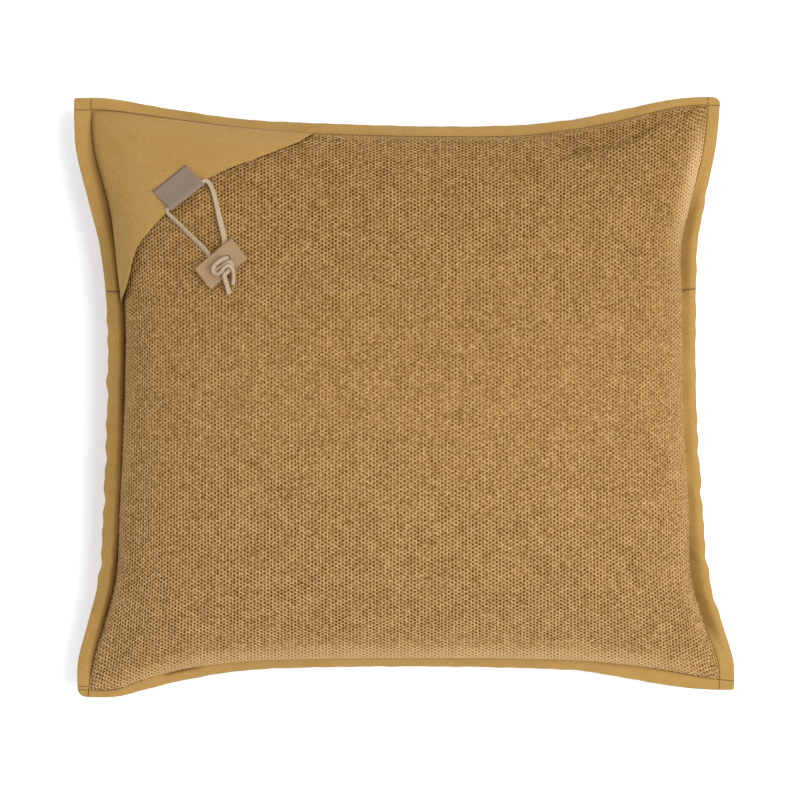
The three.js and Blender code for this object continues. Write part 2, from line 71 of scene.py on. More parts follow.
SIDES = {
    "bottom": side_table("bottom_left", "bottom_right", (0, 1), [
        (0.00, 0.0000, 0.0060),
        (0.06, 0.0000, 0.0060),
        (0.10, 0.0050, 0.0083),
        (0.17, 0.0133, 0.0092),
        (0.26, 0.0200, 0.0080),
        (0.40, 0.0218, 0.0076),
        (0.55, 0.0213, 0.0076),
        (0.68, 0.0193, 0.0086),
        (0.77, 0.0164, 0.0092),
        (0.85, 0.0089, 0.0119),
        (0.92, 0.0026, 0.0116),
        (0.97, 0.0003, 0.0096),
        (1.00, 0.0000, 0.0094),
    ]),
    "top": side_table("top_left", "top_right", (0, -1), [
        (0.00, 0.0000, 0.0106),
        (0.05, 0.0003, 0.0102),
        (0.13, 0.0072, 0.0088),
        (0.20, 0.0130, 0.0078),
        (0.27, 0.0176, 0.0076),
        (0.37, 0.0204, 0.0092),
        (0.55, 0.0232, 0.0090),
        (0.69, 0.0222, 0.0096),
        (0.78, 0.0172, 0.0090),
        (0.83, 0.0120, 0.0096),
        (0.92, 0.0024, 0.0076),
        (0.96, 0.0002, 0.0070),
        (1.00, 0.0000, 0.0072),
    ]),
    "left": side_table("bottom_left", "top_left", (1, 0), [
        (0.00, 0.0000, 0.0096),
        (0.06, 0.0005, 0.0110),
        (0.12, 0.0080, 0.0124),
        (0.20, 0.0176, 0.0128),
        (0.33, 0.0221, 0.0122),
        (0.50, 0.0252, 0.0126),
        (0.64, 0.0254, 0.0125),
        (0.75, 0.0200, 0.0128),
        (0.83, 0.0108, 0.0154),
        (0.91, 0.0016, 0.0150),
        (0.96, 0.0000, 0.0146),
        (1.00, 0.0000, 0.0150),
    ]),
    "right": side_table("bottom_right", "top_right", (-1, 0), [
        (0.00, 0.0000, 0.0134),
        (0.05, 0.0002, 0.0128),
        (0.11, 0.0080, 0.0130),
        (0.19, 0.0180, 0.0130),
        (0.32, 0.0223, 0.0102),
        (0.49, 0.0250, 0.0102),
        (0.66, 0.0232, 0.0108),
        (0.75, 0.0210, 0.0126),
        (0.83, 0.0136, 0.0112),
        (0.91, 0.0050, 0.0112),
        (0.96, 0.0016, 0.0110),
        (1.00, 0.0000, 0.0110),
    ]),
}

# The filled body: height of its side seam, how far that drops at the corners, its crown above the seam
# and how far the back would hang below it with no surface there. Fullness below 1 makes steeper sides.
# The back blends into its flat spot over a little height, and troughs fade out close to the seams.
SEAM_HEIGHT = 0.064
CORNER_DROP = 0.014
CROWN = 0.086
SAG = 0.090
FLAT_BLEND = 0.010
FULLNESS = 0.85
TROUGH_FADE = 4.0

# Soft troughs in the knitted face, each along a straight line seen from above.
Trough = namedtuple("Trough", "from_x from_y to_x to_y half_width depth")
TROUGHS = [
    Trough(0.226, 0.230, 0.134, 0.1995, 0.009, 0.011),
    Trough(0.230, 0.200, 0.204, 0.128, 0.013, 0.004),
    Trough(-0.244, -0.220, -0.204, -0.162, 0.014, 0.003),
    Trough(0.247, -0.216, 0.205, -0.162, 0.014, 0.003),
]

# Finer folds in the knit, which the solid leaves out: places along each, its half width and its depth.
# A depth below zero is a swelling.
Fold = namedtuple("Fold", "x y half_width depth")
FOLDS = {
    "crease at top right": [
        Fold(0.232, 0.2315, 0.0050, 0.000),
        Fold(0.208, 0.2185, 0.0050, 0.006),
        Fold(0.189, 0.2095, 0.0055, 0.010),
        Fold(0.173, 0.2022, 0.0060, 0.013),
        Fold(0.157, 0.1985, 0.0062, 0.013),
        Fold(0.137, 0.1968, 0.0066, 0.011),
        Fold(0.118, 0.1970, 0.0075, 0.007),
        Fold(0.090, 0.1985, 0.0080, 0.000),
    ],
    "swelling above that crease": [
        Fold(0.215, 0.2265, 0.0040, 0.000),
        Fold(0.189, 0.2190, 0.0050, -0.003),
        Fold(0.165, 0.2125, 0.0060, -0.004),
        Fold(0.145, 0.2090, 0.0060, -0.003),
        Fold(0.118, 0.2070, 0.0060, 0.000),
    ],
}

Edge = namedtuple("Edge", "along bulge sink held pale")


def edge_table(rows):
    """How the knit meets its seam, at shares of the way along a side: how far the seam is drawn in under the
    bulging knit, how far it sinks between knit and border, how wide a strip of knit the sewing holds down,
    and how pale the knit is painted there, partly because it is pulled tight and partly as painted light."""
    return Edge(*np.array(rows).T)


EDGES = {
    "left": edge_table([
        (0.00, 0.0000, 0.0000, 0.0000, 0.2),
        (0.03, 0.0014, 0.0025, 0.0000, 0.3),
        (0.07, 0.0034, 0.0055, 0.0000, 0.4),
        (0.14, 0.0034, 0.0100, 0.0000, 0.5),
        (0.22, 0.0030, 0.0100, 0.0000, 0.5),
        (0.30, 0.0028, 0.0060, 0.0000, 0.5),
        (0.42, 0.0028, 0.0065, 0.0000, 0.5),
        (0.52, 0.0034, 0.0100, 0.0000, 0.5),
        (0.60, 0.0042, 0.0110, 0.0020, 0.5),
        (0.66, 0.0034, 0.0090, 0.0030, 0.5),
        (0.72, 0.0018, 0.0055, 0.0045, 0.3),
        (0.86, 0.0004, 0.0040, 0.0050, 0.0),
        (0.94, 0.0000, 0.0010, 0.0030, 0.0),
        (1.00, 0.0000, 0.0000, 0.0000, 0.0),
    ]),
    "right": edge_table([
        (0.00, 0.0000, 0.0000, 0.0000, 0.3),
        (0.05, 0.0006, 0.0015, 0.0000, 0.4),
        (0.10, 0.0026, 0.0095, 0.0000, 0.4),
        (0.22, 0.0046, 0.0105, 0.0000, 0.5),
        (0.30, 0.0034, 0.0080, 0.0000, 0.4),
        (0.40, 0.0030, 0.0070, 0.0000, 0.4),
        (0.60, 0.0028, 0.0070, 0.0000, 0.4),
        (0.68, 0.0026, 0.0085, 0.0000, 0.4),
        (0.74, 0.0022, 0.0095, 0.0000, 0.6),
        (0.83, 0.0014, 0.0080, 0.0000, 1.1),
        (0.90, 0.0000, 0.0015, 0.0000, 1.2),
        (1.00, 0.0000, 0.0000, 0.0000, 0.2),
    ]),
    "bottom": edge_table([
        (0.00, 0.0000, 0.0000, 0.0000, 0.3),
        (0.08, 0.0010, 0.0010, 0.0000, 0.8),
        (0.11, 0.0014, 0.0014, 0.0000, 0.9),
        (0.13, 0.0018, 0.0070, 0.0000, 0.9),
        (0.16, 0.0020, 0.0070, 0.0000, 0.9),
        (0.19, 0.0022, 0.0022, 0.0000, 0.9),
        (0.50, 0.0026, 0.0022, 0.0000, 1.0),
        (0.84, 0.0022, 0.0022, 0.0000, 1.0),
        (0.93, 0.0008, 0.0010, 0.0000, 0.8),
        (1.00, 0.0000, 0.0000, 0.0000, 0.4),
    ]),
    "top": edge_table([
        (0.00, 0.0000, 0.0000, 0.0000, 0.0),
        (0.30, 0.0000, 0.0000, 0.0000, 0.1),
        (0.45, 0.0000, 0.0014, 0.0025, 0.1),
        (0.90, 0.0000, 0.0014, 0.0025, 0.1),
        (1.00, 0.0000, 0.0000, 0.0000, 0.0),
    ]),
}
# How far in from each side the knit is painted pale: partly for its stretch, partly as painted light.
PALE_REACH = {"left": 0.012, "right": 0.018, "bottom": 0.020, "top": 0.006}
# The knit stands back out over its seam by a share of the bulge, and farthest at one station.
BULGE_SPREAD = {"left": 0.6, "right": 0.8, "bottom": 1.25, "top": 1.25}
BULGE_STATION = 0.025
# How far in from a seam the cover sinks with it, and at what share of the way across each border that starts.
SINK_REACH = 0.0030
SINK_FROM = {"left": 0.5, "right": 0.2, "bottom": 0.5, "top": 0.5}
# The face between its seams, which turns a share of it into a distance.
FACE_SPAN = 0.480

# Settling of the filled cover by cloth simulation: its grid, the share of its rise that it starts from,
# how it is worked out, and the most that a point may move. The flap's corner keeps its modelled shape.
SETTLE = {"columns": 60, "rows": 56, "start": 0.97, "cap": 0.008}
SIMULATION = {"frames": 20, "quality": 6, "pressure": 4.0}
STILL = {"x": -0.170, "y": 0.140, "radius": 0.110}

# The knit: distance between columns and rows of stitches, and how deep the gaps between loops are.
WALE = 0.00272
COURSE = 0.00320
LOOP_DEPTH = 0.0007
# Uneven knitting: loops lie off their places by a share of a stitch, and gaps and loop tops vary in size,
# and so do their painted shade and painted highlight.
LOOP_SCATTER = 0.04
GAP_SIZES = (0.75, 1.2)
TOP_SIZES = (0.0, 0.75)
# Where the knit is stretched, and where painted light makes it paler beside its seams, its gaps close by this
# share.
GAPS_CLOSE = 0.6
# Beside its seams the knit is stretched: this share of a rise takes up cloth, out to a distance in.
TAKEN_UP = 0.42
TAKEN_UP_REACH = 0.018
# At shares of the way up the face: how open the gaps are and how much paler the loops are. Wide gaps at the
# top are partly painted shade on the upper face, and the paler loops at the bottom are painted light.
WAY_UP = [0.0, 0.5, 1.0]
GAP_OPENNESS_AND_SHADE = [1.35, 0.92, 1.35]
LOOP_PAINTED_LIGHT = [0.30, 0.0, 0.0]
# Tables that lay the knit over the face: lines on it, stations on a line and lengths of cloth along it.
# A point closer to a seam than SEAM_SNAP, in stations, lies on it.
KNIT_LINES = 161
KNIT_STATIONS = 1201
KNIT_LENGTHS = 1601
SEAM_SNAP = 0.003

# The canvas back: its grid, and the hem across it. Above the hem the cloth steps in, over a share of the
# way up, and that step fades out at the sides. A few rows of the grid lie in the step, and the stitches
# run below it, both in stations.
BACK_COLUMNS = 90
BACK_ROWS = 150
HEM_STEP = 0.0012
HEM_SPAN = 0.004
HEM_FADE = 6.0
HEM_ROWS = {"count": 6, "span": 0.006}
HEM_STITCHES = {"below": 0.012, "margin": 0.01, "points": 400}

# The folded canvas border: its width where it lies flat, half its thickness and its coarse waves, as in the
# solid. Waves, droop and puckers level off towards the corners, over a share of the side.
BORDER_WIDTH = 0.014
BORDER_HALF = 0.0013
WAVE_HEIGHT = 0.0012
WAVE_LENGTH = 0.046
LEVEL_AT_CORNER = 0.16
# Its mesh: points along it, round the fold and across the flat, which runs on a little into the seam.
BORDER_STEP = 0.002
FOLD_STEPS = 7
FLAT_STEPS = 18
INTO_SEAM = 1.03
# The two side joins: their share of the way up, how far the left one leans across its border and over
# what share of the side, and how the sewing presses the border there to a share of its thickness.
SIDE_SEAM = 0.677
JOIN_LEAN = {"left": 0.0105}
JOIN_LEAN_SPAN = 0.05
JOIN_PRESS = {"share": 0.5, "reach": 0.003}
JOIN_STITCHES = {"inner": 0.97, "outer": 0.06, "points": 30}
# Fine puckers: how high they are between two shares of a side, and the waves that they are made of.
Pucker = namedtuple("Pucker", "side first last size")
PUCKERS = [
    Pucker("left", 0.16, 0.66, 0.0009),
    Pucker("right", 0.10, 0.50, 0.0008),
    Pucker("right", 0.50, 0.88, 0.0004),
    Pucker("top", 0.05, 0.95, 0.0002),
    Pucker("bottom", 0.05, 0.95, 0.0002),
]
PUCKER_FADE = 0.05
PuckerWave = namedtuple("PuckerWave", "share length phase")
PUCKER_WAVES = [PuckerWave(0.5, 0.0171, 0.4), PuckerWave(0.4, 0.0267, 1.9), PuckerWave(0.5, 0.0410, 3.3)]

# Topstitching: distance out from the seam, stitch length and the space between stitches, thread size.
STITCH_OUT = 0.0014
STITCH_LENGTH = 0.0028
STITCH_SPACE = 0.0003
THREAD_RADIUS = 0.00031
THREAD_SIDES = 6
# One stitch at even places along it: its rise off the cloth in thread radii, and its share of the thickness.
STITCH_RISE = np.array([-0.5, 0.25, 0.6, 0.6, 0.25, -0.5])
STITCH_GIRTH = np.array([0.7, 0.95, 1.0, 1.0, 0.95, 0.7])
# A row's points along a side and at each corner, how far it stops from the outer edge, and the second row.
ROW_POINTS = 300
CORNER_STEPS = 12
ROW_MARGIN = 0.0006
SECOND_ROW = 0.0028
# The stitch line and the seam press the border down, by a share of its half thickness. Places are shares
# of the way from the outer edge to the seam.
STITCH_DEPTH = 1 - STITCH_OUT / BORDER_WIDTH
STITCH_PRESS = {"share": 0.35, "span": 0.06}
SEAM_PRESS = {"share": 0.3, "from": 0.9}

# The corner flap: half its thickness and its clearance over the knit. It starts at a share of the way from
# its tip to the free edge, which is rounded by a share of that way.
FLAP = {"half": 0.0006, "clearance": 0.0009, "tip": 0.03, "rounding": 0.004}
FLAP_MESH = {"columns": 140, "rows": 44, "turn": 8, "edge_step": 0.00005}
# Out to so many stations from its seams the flap lies closer to the knit, down to a share of its lift.
SEWN_IN = {"stations": 0.05, "share": 0.3}
# The free edge, from the top seam round to the left seam: how far it lifts, from a share of the way out.
FREE_EDGE = {"along": [0.0, 0.3, 0.6, 0.8, 1.0], "lift": [0.0008, 0.0014, 0.0026, 0.0044, 0.0020]}
FREE_FROM = 0.7
FLAP_EDGE = [
    (-0.0730, 0.2090),
    (-0.0880, 0.2010),
    (-0.1220, 0.1875),
    (-0.1560, 0.1730),
    (-0.1880, 0.1467),
    (-0.1998, 0.1332),
    (-0.2098, 0.1186),
    (-0.2164, 0.0940),
    (-0.2220, 0.0720),
]

# The folded tape label and the tunnel in its fold, and its section as places across it and off the flap.
LABEL = {"x": -0.1784, "y": 0.1651, "turn": 37, "length": 0.0338, "width": 0.0238, "lean": 0.125}
LABEL_CLEARANCE = 0.0024
TAPE_HALF = 0.00035
TUNNEL_Y = -0.0091
TUNNEL_Z = 0.0028
LABEL_MESH = {"columns": 30, "step": 0.0006}
# The row of stitches along its sewn edge: distance in from the edge, share of the label's length, stitches.
LABEL_ROW = {"in": 0.0009, "share": 0.99}
LABEL_STITCH = {"length": 0.0016, "space": 0.0003, "radius": 0.00035}
LABEL_SECTION = [
    (0.0119, 0.0004),
    (0.0040, 0.0004),
    (-0.0040, 0.0004),
    (-0.0092, 0.0006),
    (-0.0112, 0.0016),
    (-0.0116, 0.0028),
    (-0.0108, 0.0040),
    (-0.0088, 0.0044),
    (-0.0050, 0.0036),
    (0.0000, 0.0023),
    (0.0060, 0.0015),
    (0.0119, 0.0013),
]

# The leather toggle, cut by hand: its corners are clipped and its cut sides waver.
TOGGLE = {"x": -0.1444, "y": 0.1051, "turn": 38, "length": 0.0384, "width": 0.0210, "tilt": 4}
TOGGLE_CLEARANCE = 0.0028
TOGGLE_THICKNESS = 0.0030
TOGGLE_ROUND = 0.0005
TOGGLE_CUT = {"clip": 0.0007, "waver": 0.00008, "points": 14}
HOLE_RADIUS = 0.0026
HOLE_SPACING = 0.0130
HOLE_POINTS = 28
# Facets of the plate whose normals rise less than this show the cut edge.
CUT_EDGE_RISE = 0.5

# The flat cotton cord: its widest place, its width at the label, its thickness, and its two legs
# over the face as places seen from above and the height of its middle over the knit.
CORD_WIDTH = 0.0050
CORD_AT_LABEL = 0.0036
CORD_THICKNESS = 0.0019
CORD_STEP = 0.0006
CORD_SIDES = 16
# The legs part by a gap inside the label's fold. Each widens from there on, apart from a share at each end.
LEG_GAP = 0.0003
LEG_EVEN = 1 / 7
# In the hole the cord folds to a share of its width, along its last stretch and a fade before that.
HOLE_FOLD = {"share": 0.72, "length": 0.002, "fade": 0.005}
# Below 1, this power of a circle's sine and cosine makes a section squarer than an ellipse.
SECTION_POWER = 0.8
# Plaits of the braid: their length along the cord, and how far they stand up.
PLAIT_LENGTH = 0.0024
PLAIT_RISE = 0.00003
LEFT_LEG = [
    (-0.1868, 0.1478, 0.0052),
    (-0.1866, 0.1455, 0.0044),
    (-0.1845, 0.1430, 0.0036),
    (-0.1804, 0.1392, 0.0024),
    (-0.1730, 0.1316, 0.0019),
    (-0.1636, 0.1222, 0.0019),
    (-0.1560, 0.1140, 0.0019),
]
RIGHT_LEG = [
    (-0.1566, 0.1699, 0.0052),
    (-0.1544, 0.1684, 0.0044),
    (-0.1526, 0.1653, 0.0034),
    (-0.1508, 0.1600, 0.0023),
    (-0.1484, 0.1504, 0.0019),
    (-0.1455, 0.1376, 0.0019),
    (-0.1423, 0.1245, 0.0019),
]
# Each leg's way into its hole: back from the hole's middle, and above the toggle's underside.
INTO_HOLE = [(0.0050, -0.0018), (0.0013, -0.0011), (0.0, 0.0006), (0.0, 0.0016)]

# The knot's strands: along the toggle's long side, across it to the lower right, and above its top.
# The tails splay at their ends, by a share of the width.
STRAND_WIDTH = 0.0040
STRAND_THICKNESS = 0.0031
TAIL_SPLAY = {"share": 0.25, "length": 0.003}
LEFT_STRAND = [
    (-0.0065, 0.0000, -0.0010),
    (-0.0062, 0.0005, 0.0008),
    (-0.0044, 0.0019, 0.0019),
    (-0.0010, 0.0026, 0.0022),
    (0.0030, 0.0026, 0.0023),
    (0.0062, 0.0038, 0.0024),
    (0.0068, 0.0066, 0.0024),
    (0.0042, 0.0086, 0.0022),
    (0.0004, 0.0090, 0.0024),
    (-0.0030, 0.0096, 0.0026),
    (-0.0046, 0.0120, 0.0016),
    (-0.0060, 0.0148, -0.0002),
    (-0.0076, 0.0176, -0.0020),
    (-0.0090, 0.0204, -0.0032),
    (-0.0096, 0.0231, -0.0036),
]
RIGHT_STRAND = [
    (0.0065, 0.0000, -0.0010),
    (0.0063, -0.0001, 0.0016),
    (0.0044, -0.0006, 0.0036),
    (0.0006, -0.0010, 0.0044),
    (-0.0036, -0.0011, 0.0044),
    (-0.0070, 0.0002, 0.0038),
    (-0.0080, 0.0028, 0.0028),
    (-0.0064, 0.0054, 0.0030),
    (-0.0030, 0.0062, 0.0046),
    (0.0010, 0.0056, 0.0056),
    (0.0046, 0.0064, 0.0054),
    (0.0054, 0.0090, 0.0046),
    (0.0040, 0.0122, 0.0022),
    (0.0008, 0.0154, -0.0006),
    (-0.0029, 0.0186, -0.0024),
]


# Curves and small helpers

def unit(vectors):
    return vectors / np.linalg.norm(vectors, axis=-1, keepdims=True)


def smooth_step(share):
    share = np.clip(share, 0, 1)
    return share * share * (3 - 2 * share)


def curve_through(places, values, at):
    """Reads a smooth curve through values at rising places. A value is a number or a point."""
    places, values, at = (np.asarray(item, float) for item in (places, values, at))
    index = np.arange(len(places))
    before, after = np.maximum(index - 1, 0), np.minimum(index + 1, len(places) - 1)
    spread = (...,) + (None,) * (values.ndim - 1)
    slopes = (values[after] - values[before]) / (places[after] - places[before])[spread]
    first = np.clip(np.searchsorted(places, at, side="right") - 1, 0, len(places) - 2)
    span = places[first + 1] - places[first]
    t = ((at - places[first]) / span)[spread]
    span = span[spread]
    leaving = t * (1 - t) ** 2 * span * slopes[first]
    arriving = t * t * (t - 1) * span * slopes[first + 1]
    return values[first] + (values[first + 1] - values[first]) * (t * t * (3 - 2 * t)) + leaving + arriving


def travelled_along(points):
    steps = np.linalg.norm(np.diff(points, axis=0), axis=-1)
    return np.concatenate(([0.0], np.cumsum(steps)))


def smooth_route(points, step):
    """Points about `step` apart on one smooth curve through given points."""
    points = np.asarray(points, float)
    places = travelled_along(points)
    per_point = 60
    fine = curve_through(places, points, np.linspace(0, places[-1], per_point * len(points)))
    travelled = travelled_along(fine)
    even = np.linspace(0, travelled[-1], max(2, round(travelled[-1] / step)) + 1)
    return np.stack([np.interp(even, travelled, fine[:, k]) for k in range(points.shape[1])], -1)


# The border and the body, as in the solids

def corner_point(name):
    return np.array([CORNERS[name]["x"], CORNERS[name]["y"]])


def side_length(name):
    return np.linalg.norm(corner_point(SIDES[name].last) - corner_point(SIDES[name].first))


def border_width(name, along):
    return curve_through(SIDES[name].along, SIDES[name].border, along)


def edge_value(name, values, along):
    """Reads one column of a side's edge table."""
    return np.maximum(0, curve_through(EDGES[name].along, values, along))


def seam_corner(name, level, level_along, upright, upright_along):
    """A seam corner lies in from the outer corner by the border of both sides that meet there."""
    level_move = SIDES[level].inward * border_width(level, level_along)
    return corner_point(name) + level_move + SIDES[upright].inward * border_width(upright, upright_along)


SEAM_CORNERS = {
    "bottom_left": seam_corner("bottom_left", "bottom", 0, "left", 0),
    "bottom_right": seam_corner("bottom_right", "bottom", 1, "right", 0),
    "top_left": seam_corner("top_left", "top", 0, "left", 1),
    "top_right": seam_corner("top_right", "top", 1, "right", 1),
}
OTHER_SIDE = {
    ("bottom", 0): ("left", 1),
    ("bottom", 1): ("right", 1),
    ("top", 0): ("left", -1),
    ("top", 1): ("right", -1),
    ("left", 0): ("bottom", 1),
    ("left", 1): ("top", 1),
    ("right", 0): ("bottom", -1),
    ("right", 1): ("top", -1),
}


def side_direction(name):
    return unit(corner_point(SIDES[name].last) - corner_point(SIDES[name].first))


def drawn_in(name, along, share):
    """A point on a side seen from above: share 0 is its outer edge and share 1 its seam."""
    side = SIDES[name]
    along = np.asarray(along, float)
    start, end = corner_point(side.first), corner_point(side.last)
    width = border_width(name, along) + edge_value(name, EDGES[name].bulge, along)
    inset = curve_through(side.along, side.inset, along) + share * width
    return start + along[..., None] * (end - start) + inset[..., None] * side.inward


def rounded_outer(name, station):
    """The outer edge, rounded off near both of its corners."""
    side = SIDES[name]
    outer = drawn_in(name, station, 0)
    length = side_length(name)
    for end, corner_name, away in ((0, side.first, station), (1, side.last, 1 - station)):
        cut = CORNERS[corner_name]["cut"]
        corner = corner_point(corner_name)
        other, turn = OTHER_SIDE[name, end]
        here = corner + side_direction(name) * cut * (1 - 2 * end)
        there = corner + side_direction(other) * cut * turn
        t = 0.5 + 0.5 * np.clip(away * length / cut, 0, 1)[..., None]
        arc = (1 - t) ** 2 * there + 2 * t * (1 - t) * corner + t * t * here
        outer = np.where((away * length < cut)[..., None], arc, outer)
    return outer


def seam_ends(name):
    """Where a side's seam starts and ends, as shares along its outer edge."""
    side = SIDES[name]
    start = corner_point(side.first)
    line = corner_point(side.last) - start
    return [(SEAM_CORNERS[corner] - start) @ line / (line @ line) for corner in (side.first, side.last)]


def border_plan(name, station, depth):
    """A point on the border seen from above: depth 0 is its outer edge and depth 1 the seam."""
    side = SIDES[name]
    station, depth = np.broadcast_arrays(np.asarray(station, float), np.asarray(depth, float))
    ends = seam_ends(name)
    misses = [
        SEAM_CORNERS[corner] - drawn_in(name, along, 1)
        for corner, along in zip((side.first, side.last), ends)
    ]
    share = station[..., None]
    seam = drawn_in(name, ends[0] + (ends[1] - ends[0]) * station, 1)
    seam = seam + misses[0] * (1 - share) + misses[1] * share
    outer = rounded_outer(name, station)
    return outer + (seam - outer) * depth[..., None]


def seam_line(name, station):
    return border_plan(name, station, 1.0)


def face_plan(across, up):
    """The body seen from above: a patch between the four seams, with shares across and up."""
    low, high = seam_line("bottom", across), seam_line("top", across)
    left, right = seam_line("left", up), seam_line("right", up)
    across, up = across[..., None], up[..., None]
    lower = SEAM_CORNERS["bottom_left"] * (1 - across) + SEAM_CORNERS["bottom_right"] * across
    upper = SEAM_CORNERS["top_left"] * (1 - across) + SEAM_CORNERS["top_right"] * across
    flat = lower * (1 - up) + upper * up
    return low * (1 - up) + high * up + left * (1 - across) + right * across - flat


def seam_height(across, up):
    return SEAM_HEIGHT - CORNER_DROP * (2 * across - 1) ** 2 * (2 * up - 1) ** 2


def from_line(plan, start, end):
    """How far places are from a straight line, and the share of the line at their nearest point."""
    start, line = np.array(start), np.array(end) - np.array(start)
    share = np.clip((plan - start) @ line / (line @ line), 0, 1)
    return np.linalg.norm(plan - start - share[..., None] * line, axis=-1), share


def trough_depth(plan):
    total = 0.0
    for row in TROUGHS:
        away, _ = from_line(plan, (row.from_x, row.from_y), (row.to_x, row.to_y))
        total = total + row.depth * np.exp(-((away / row.half_width) ** 2))
    return total


def fold_depth(plan):
    total = 0.0
    for rows in FOLDS.values():
        nearest = np.full(plan.shape[:-1], np.inf)
        depth = np.zeros(plan.shape[:-1])
        for first, last in zip(rows, rows[1:]):
            away, share = from_line(plan, first[:2], last[:2])
            half_width = first.half_width + (last.half_width - first.half_width) * share
            here = (first.depth + (last.depth - first.depth) * share) * np.exp(-((away / half_width) ** 2))
            depth = np.where(away < nearest, here, depth)
            nearest = np.minimum(nearest, away)
        total = total + depth
    return total


# Stations u and v run from 0 to 1 round the body's swell, so they close up where its sides are steep.
def share_at(station):
    return 0.5 + 0.5 * np.sin(np.pi * (station - 0.5))


def station_at(share):
    return 0.5 + np.arcsin(np.clip(2 * share - 1, -1, 1)) / np.pi


def swell(u, v):
    level = np.cos(np.pi * (u - 0.5)) * np.cos(np.pi * (v - 0.5))
    return np.maximum(level, 0) ** FULLNESS


def from_sides(across, up):
    """For each side, how far in from it, and how far along it."""
    return {"left": (across, up), "right": (1 - across, up), "bottom": (up, across), "top": (1 - up, across)}


def held_down(across, up):
    """The share of its rise that the knit keeps beside the seams."""
    tiny = 1e-6
    kept = 1.0
    for name, (away, along) in from_sides(across, up).items():
        held = edge_value(name, EDGES[name].held, along)
        kept = kept * smooth_step((away * FACE_SPAN + tiny) / (held + tiny))
    return kept


def sunk(across, up):
    """How far the cover sinks towards the seams."""
    total = 0.0
    for name, (away, along) in from_sides(across, up).items():
        near = np.exp(-((away * FACE_SPAN / SINK_REACH) ** 2))
        total = total + edge_value(name, EDGES[name].sink, along) * near
    return total


def bulged(u, v):
    """How far the filled knit stands out over its seams, seen from above."""
    shift = 0.0
    alongs = from_sides(share_at(u), share_at(v))
    for name, (station, _) in from_sides(u, v).items():
        rise = station / BULGE_STATION
        size = BULGE_SPREAD[name] * edge_value(name, EDGES[name].bulge, alongs[name][1])
        shift = shift - (size * rise * np.exp(1 - rise))[..., None] * SIDES[name].inward
    return shift


def modelled_face(u, v, creased=True):
    across, up = share_at(u), share_at(v)
    plan = face_plan(across, up)
    rise = swell(u, v) * held_down(across, up)
    height = seam_height(across, up) + CROWN * rise - sunk(across, up)
    if creased:
        height = height - (trough_depth(plan) + fold_depth(plan)) * np.minimum(1, TROUGH_FADE * rise)
    return np.concatenate([plan + bulged(u, v), height[..., None]], -1)


def rest_on_surface(height):
    """The back is level where the cushion rests, and rounds off into that flat spot."""
    blended = (height + FLAT_BLEND) ** 2 / (4 * FLAT_BLEND)
    return np.where(height <= -FLAT_BLEND, 0.0, np.where(height >= FLAT_BLEND, height, blended))


def modelled_back(u, v):
    across, up = share_at(u), share_at(v)
    height = rest_on_surface(seam_height(across, up) - SAG * swell(u, v) - sunk(across, up))
    return np.concatenate([face_plan(across, up), height[..., None]], -1)


def normals_of(surface, u, v):
    """Directions square to a surface of stations u and v, on the side where u turns to v anticlockwise."""
    small = 0.002
    across = surface(np.minimum(u + small, 1), v) - surface(np.maximum(u - small, 0), v)
    up = surface(u, np.minimum(v + small, 1)) - surface(u, np.maximum(v - small, 0))
    return unit(np.cross(across, up))


def stations_under(places):
    """Finds the stations of the face under places seen from above."""
    places = np.asarray(places, float)
    share = np.full(places.shape, 0.5)
    size = np.array([
        SEAM_CORNERS["top_right"][0] - SEAM_CORNERS["top_left"][0],
        SEAM_CORNERS["top_left"][1] - SEAM_CORNERS["bottom_left"][1],
    ])
    rounds = 30
    for _ in range(rounds):
        share = np.clip(share + (places - face_plan(share[..., 0], share[..., 1])) / size, 0, 1)
    return station_at(share[..., 0]), station_at(share[..., 1])


def over_face(places, lift):
    """Places over the face: its points raised square to the knit."""
    u, v = stations_under(places)
    return modelled_face(u, v) + normals_of(modelled_face, u, v) * np.asarray(lift)[..., None]


# Settling of the filled cover

MOVES = {}


def blown_up(points, quads, seam):
    """Where the points of a closed cover end under pressure, with those of its seam held."""
    mesh = bpy.data.meshes.new("filled cover")
    mesh.from_pydata(points.tolist(), [], quads.tolist())
    cover = add_object("filled cover", mesh)
    cover.vertex_groups.new(name="seam").add(seam.tolist(), 1.0, "REPLACE")
    cloth = cover.modifiers.new("Cloth", "CLOTH")
    cloth.settings.quality = SIMULATION["quality"]
    cloth.settings.vertex_group_mass = "seam"
    cloth.settings.use_pressure = True
    cloth.settings.uniform_pressure_force = SIMULATION["pressure"]
    cloth.settings.effector_weights.gravity = 0
    cloth.collision_settings.use_collision = False
    cloth.point_cache.frame_end = SIMULATION["frames"]
    scene = bpy.context.scene
    for step in range(1, SIMULATION["frames"] + 1):
        scene.frame_set(step)
    settled = cover.evaluated_get(bpy.context.evaluated_depsgraph_get()).to_mesh()
    after = np.empty(len(points) * 3)
    settled.vertices.foreach_get("co", after)
    bpy.data.objects.remove(cover)
    bpy.data.meshes.remove(mesh)
    scene.frame_set(1)
    return after.reshape(-1, 3)


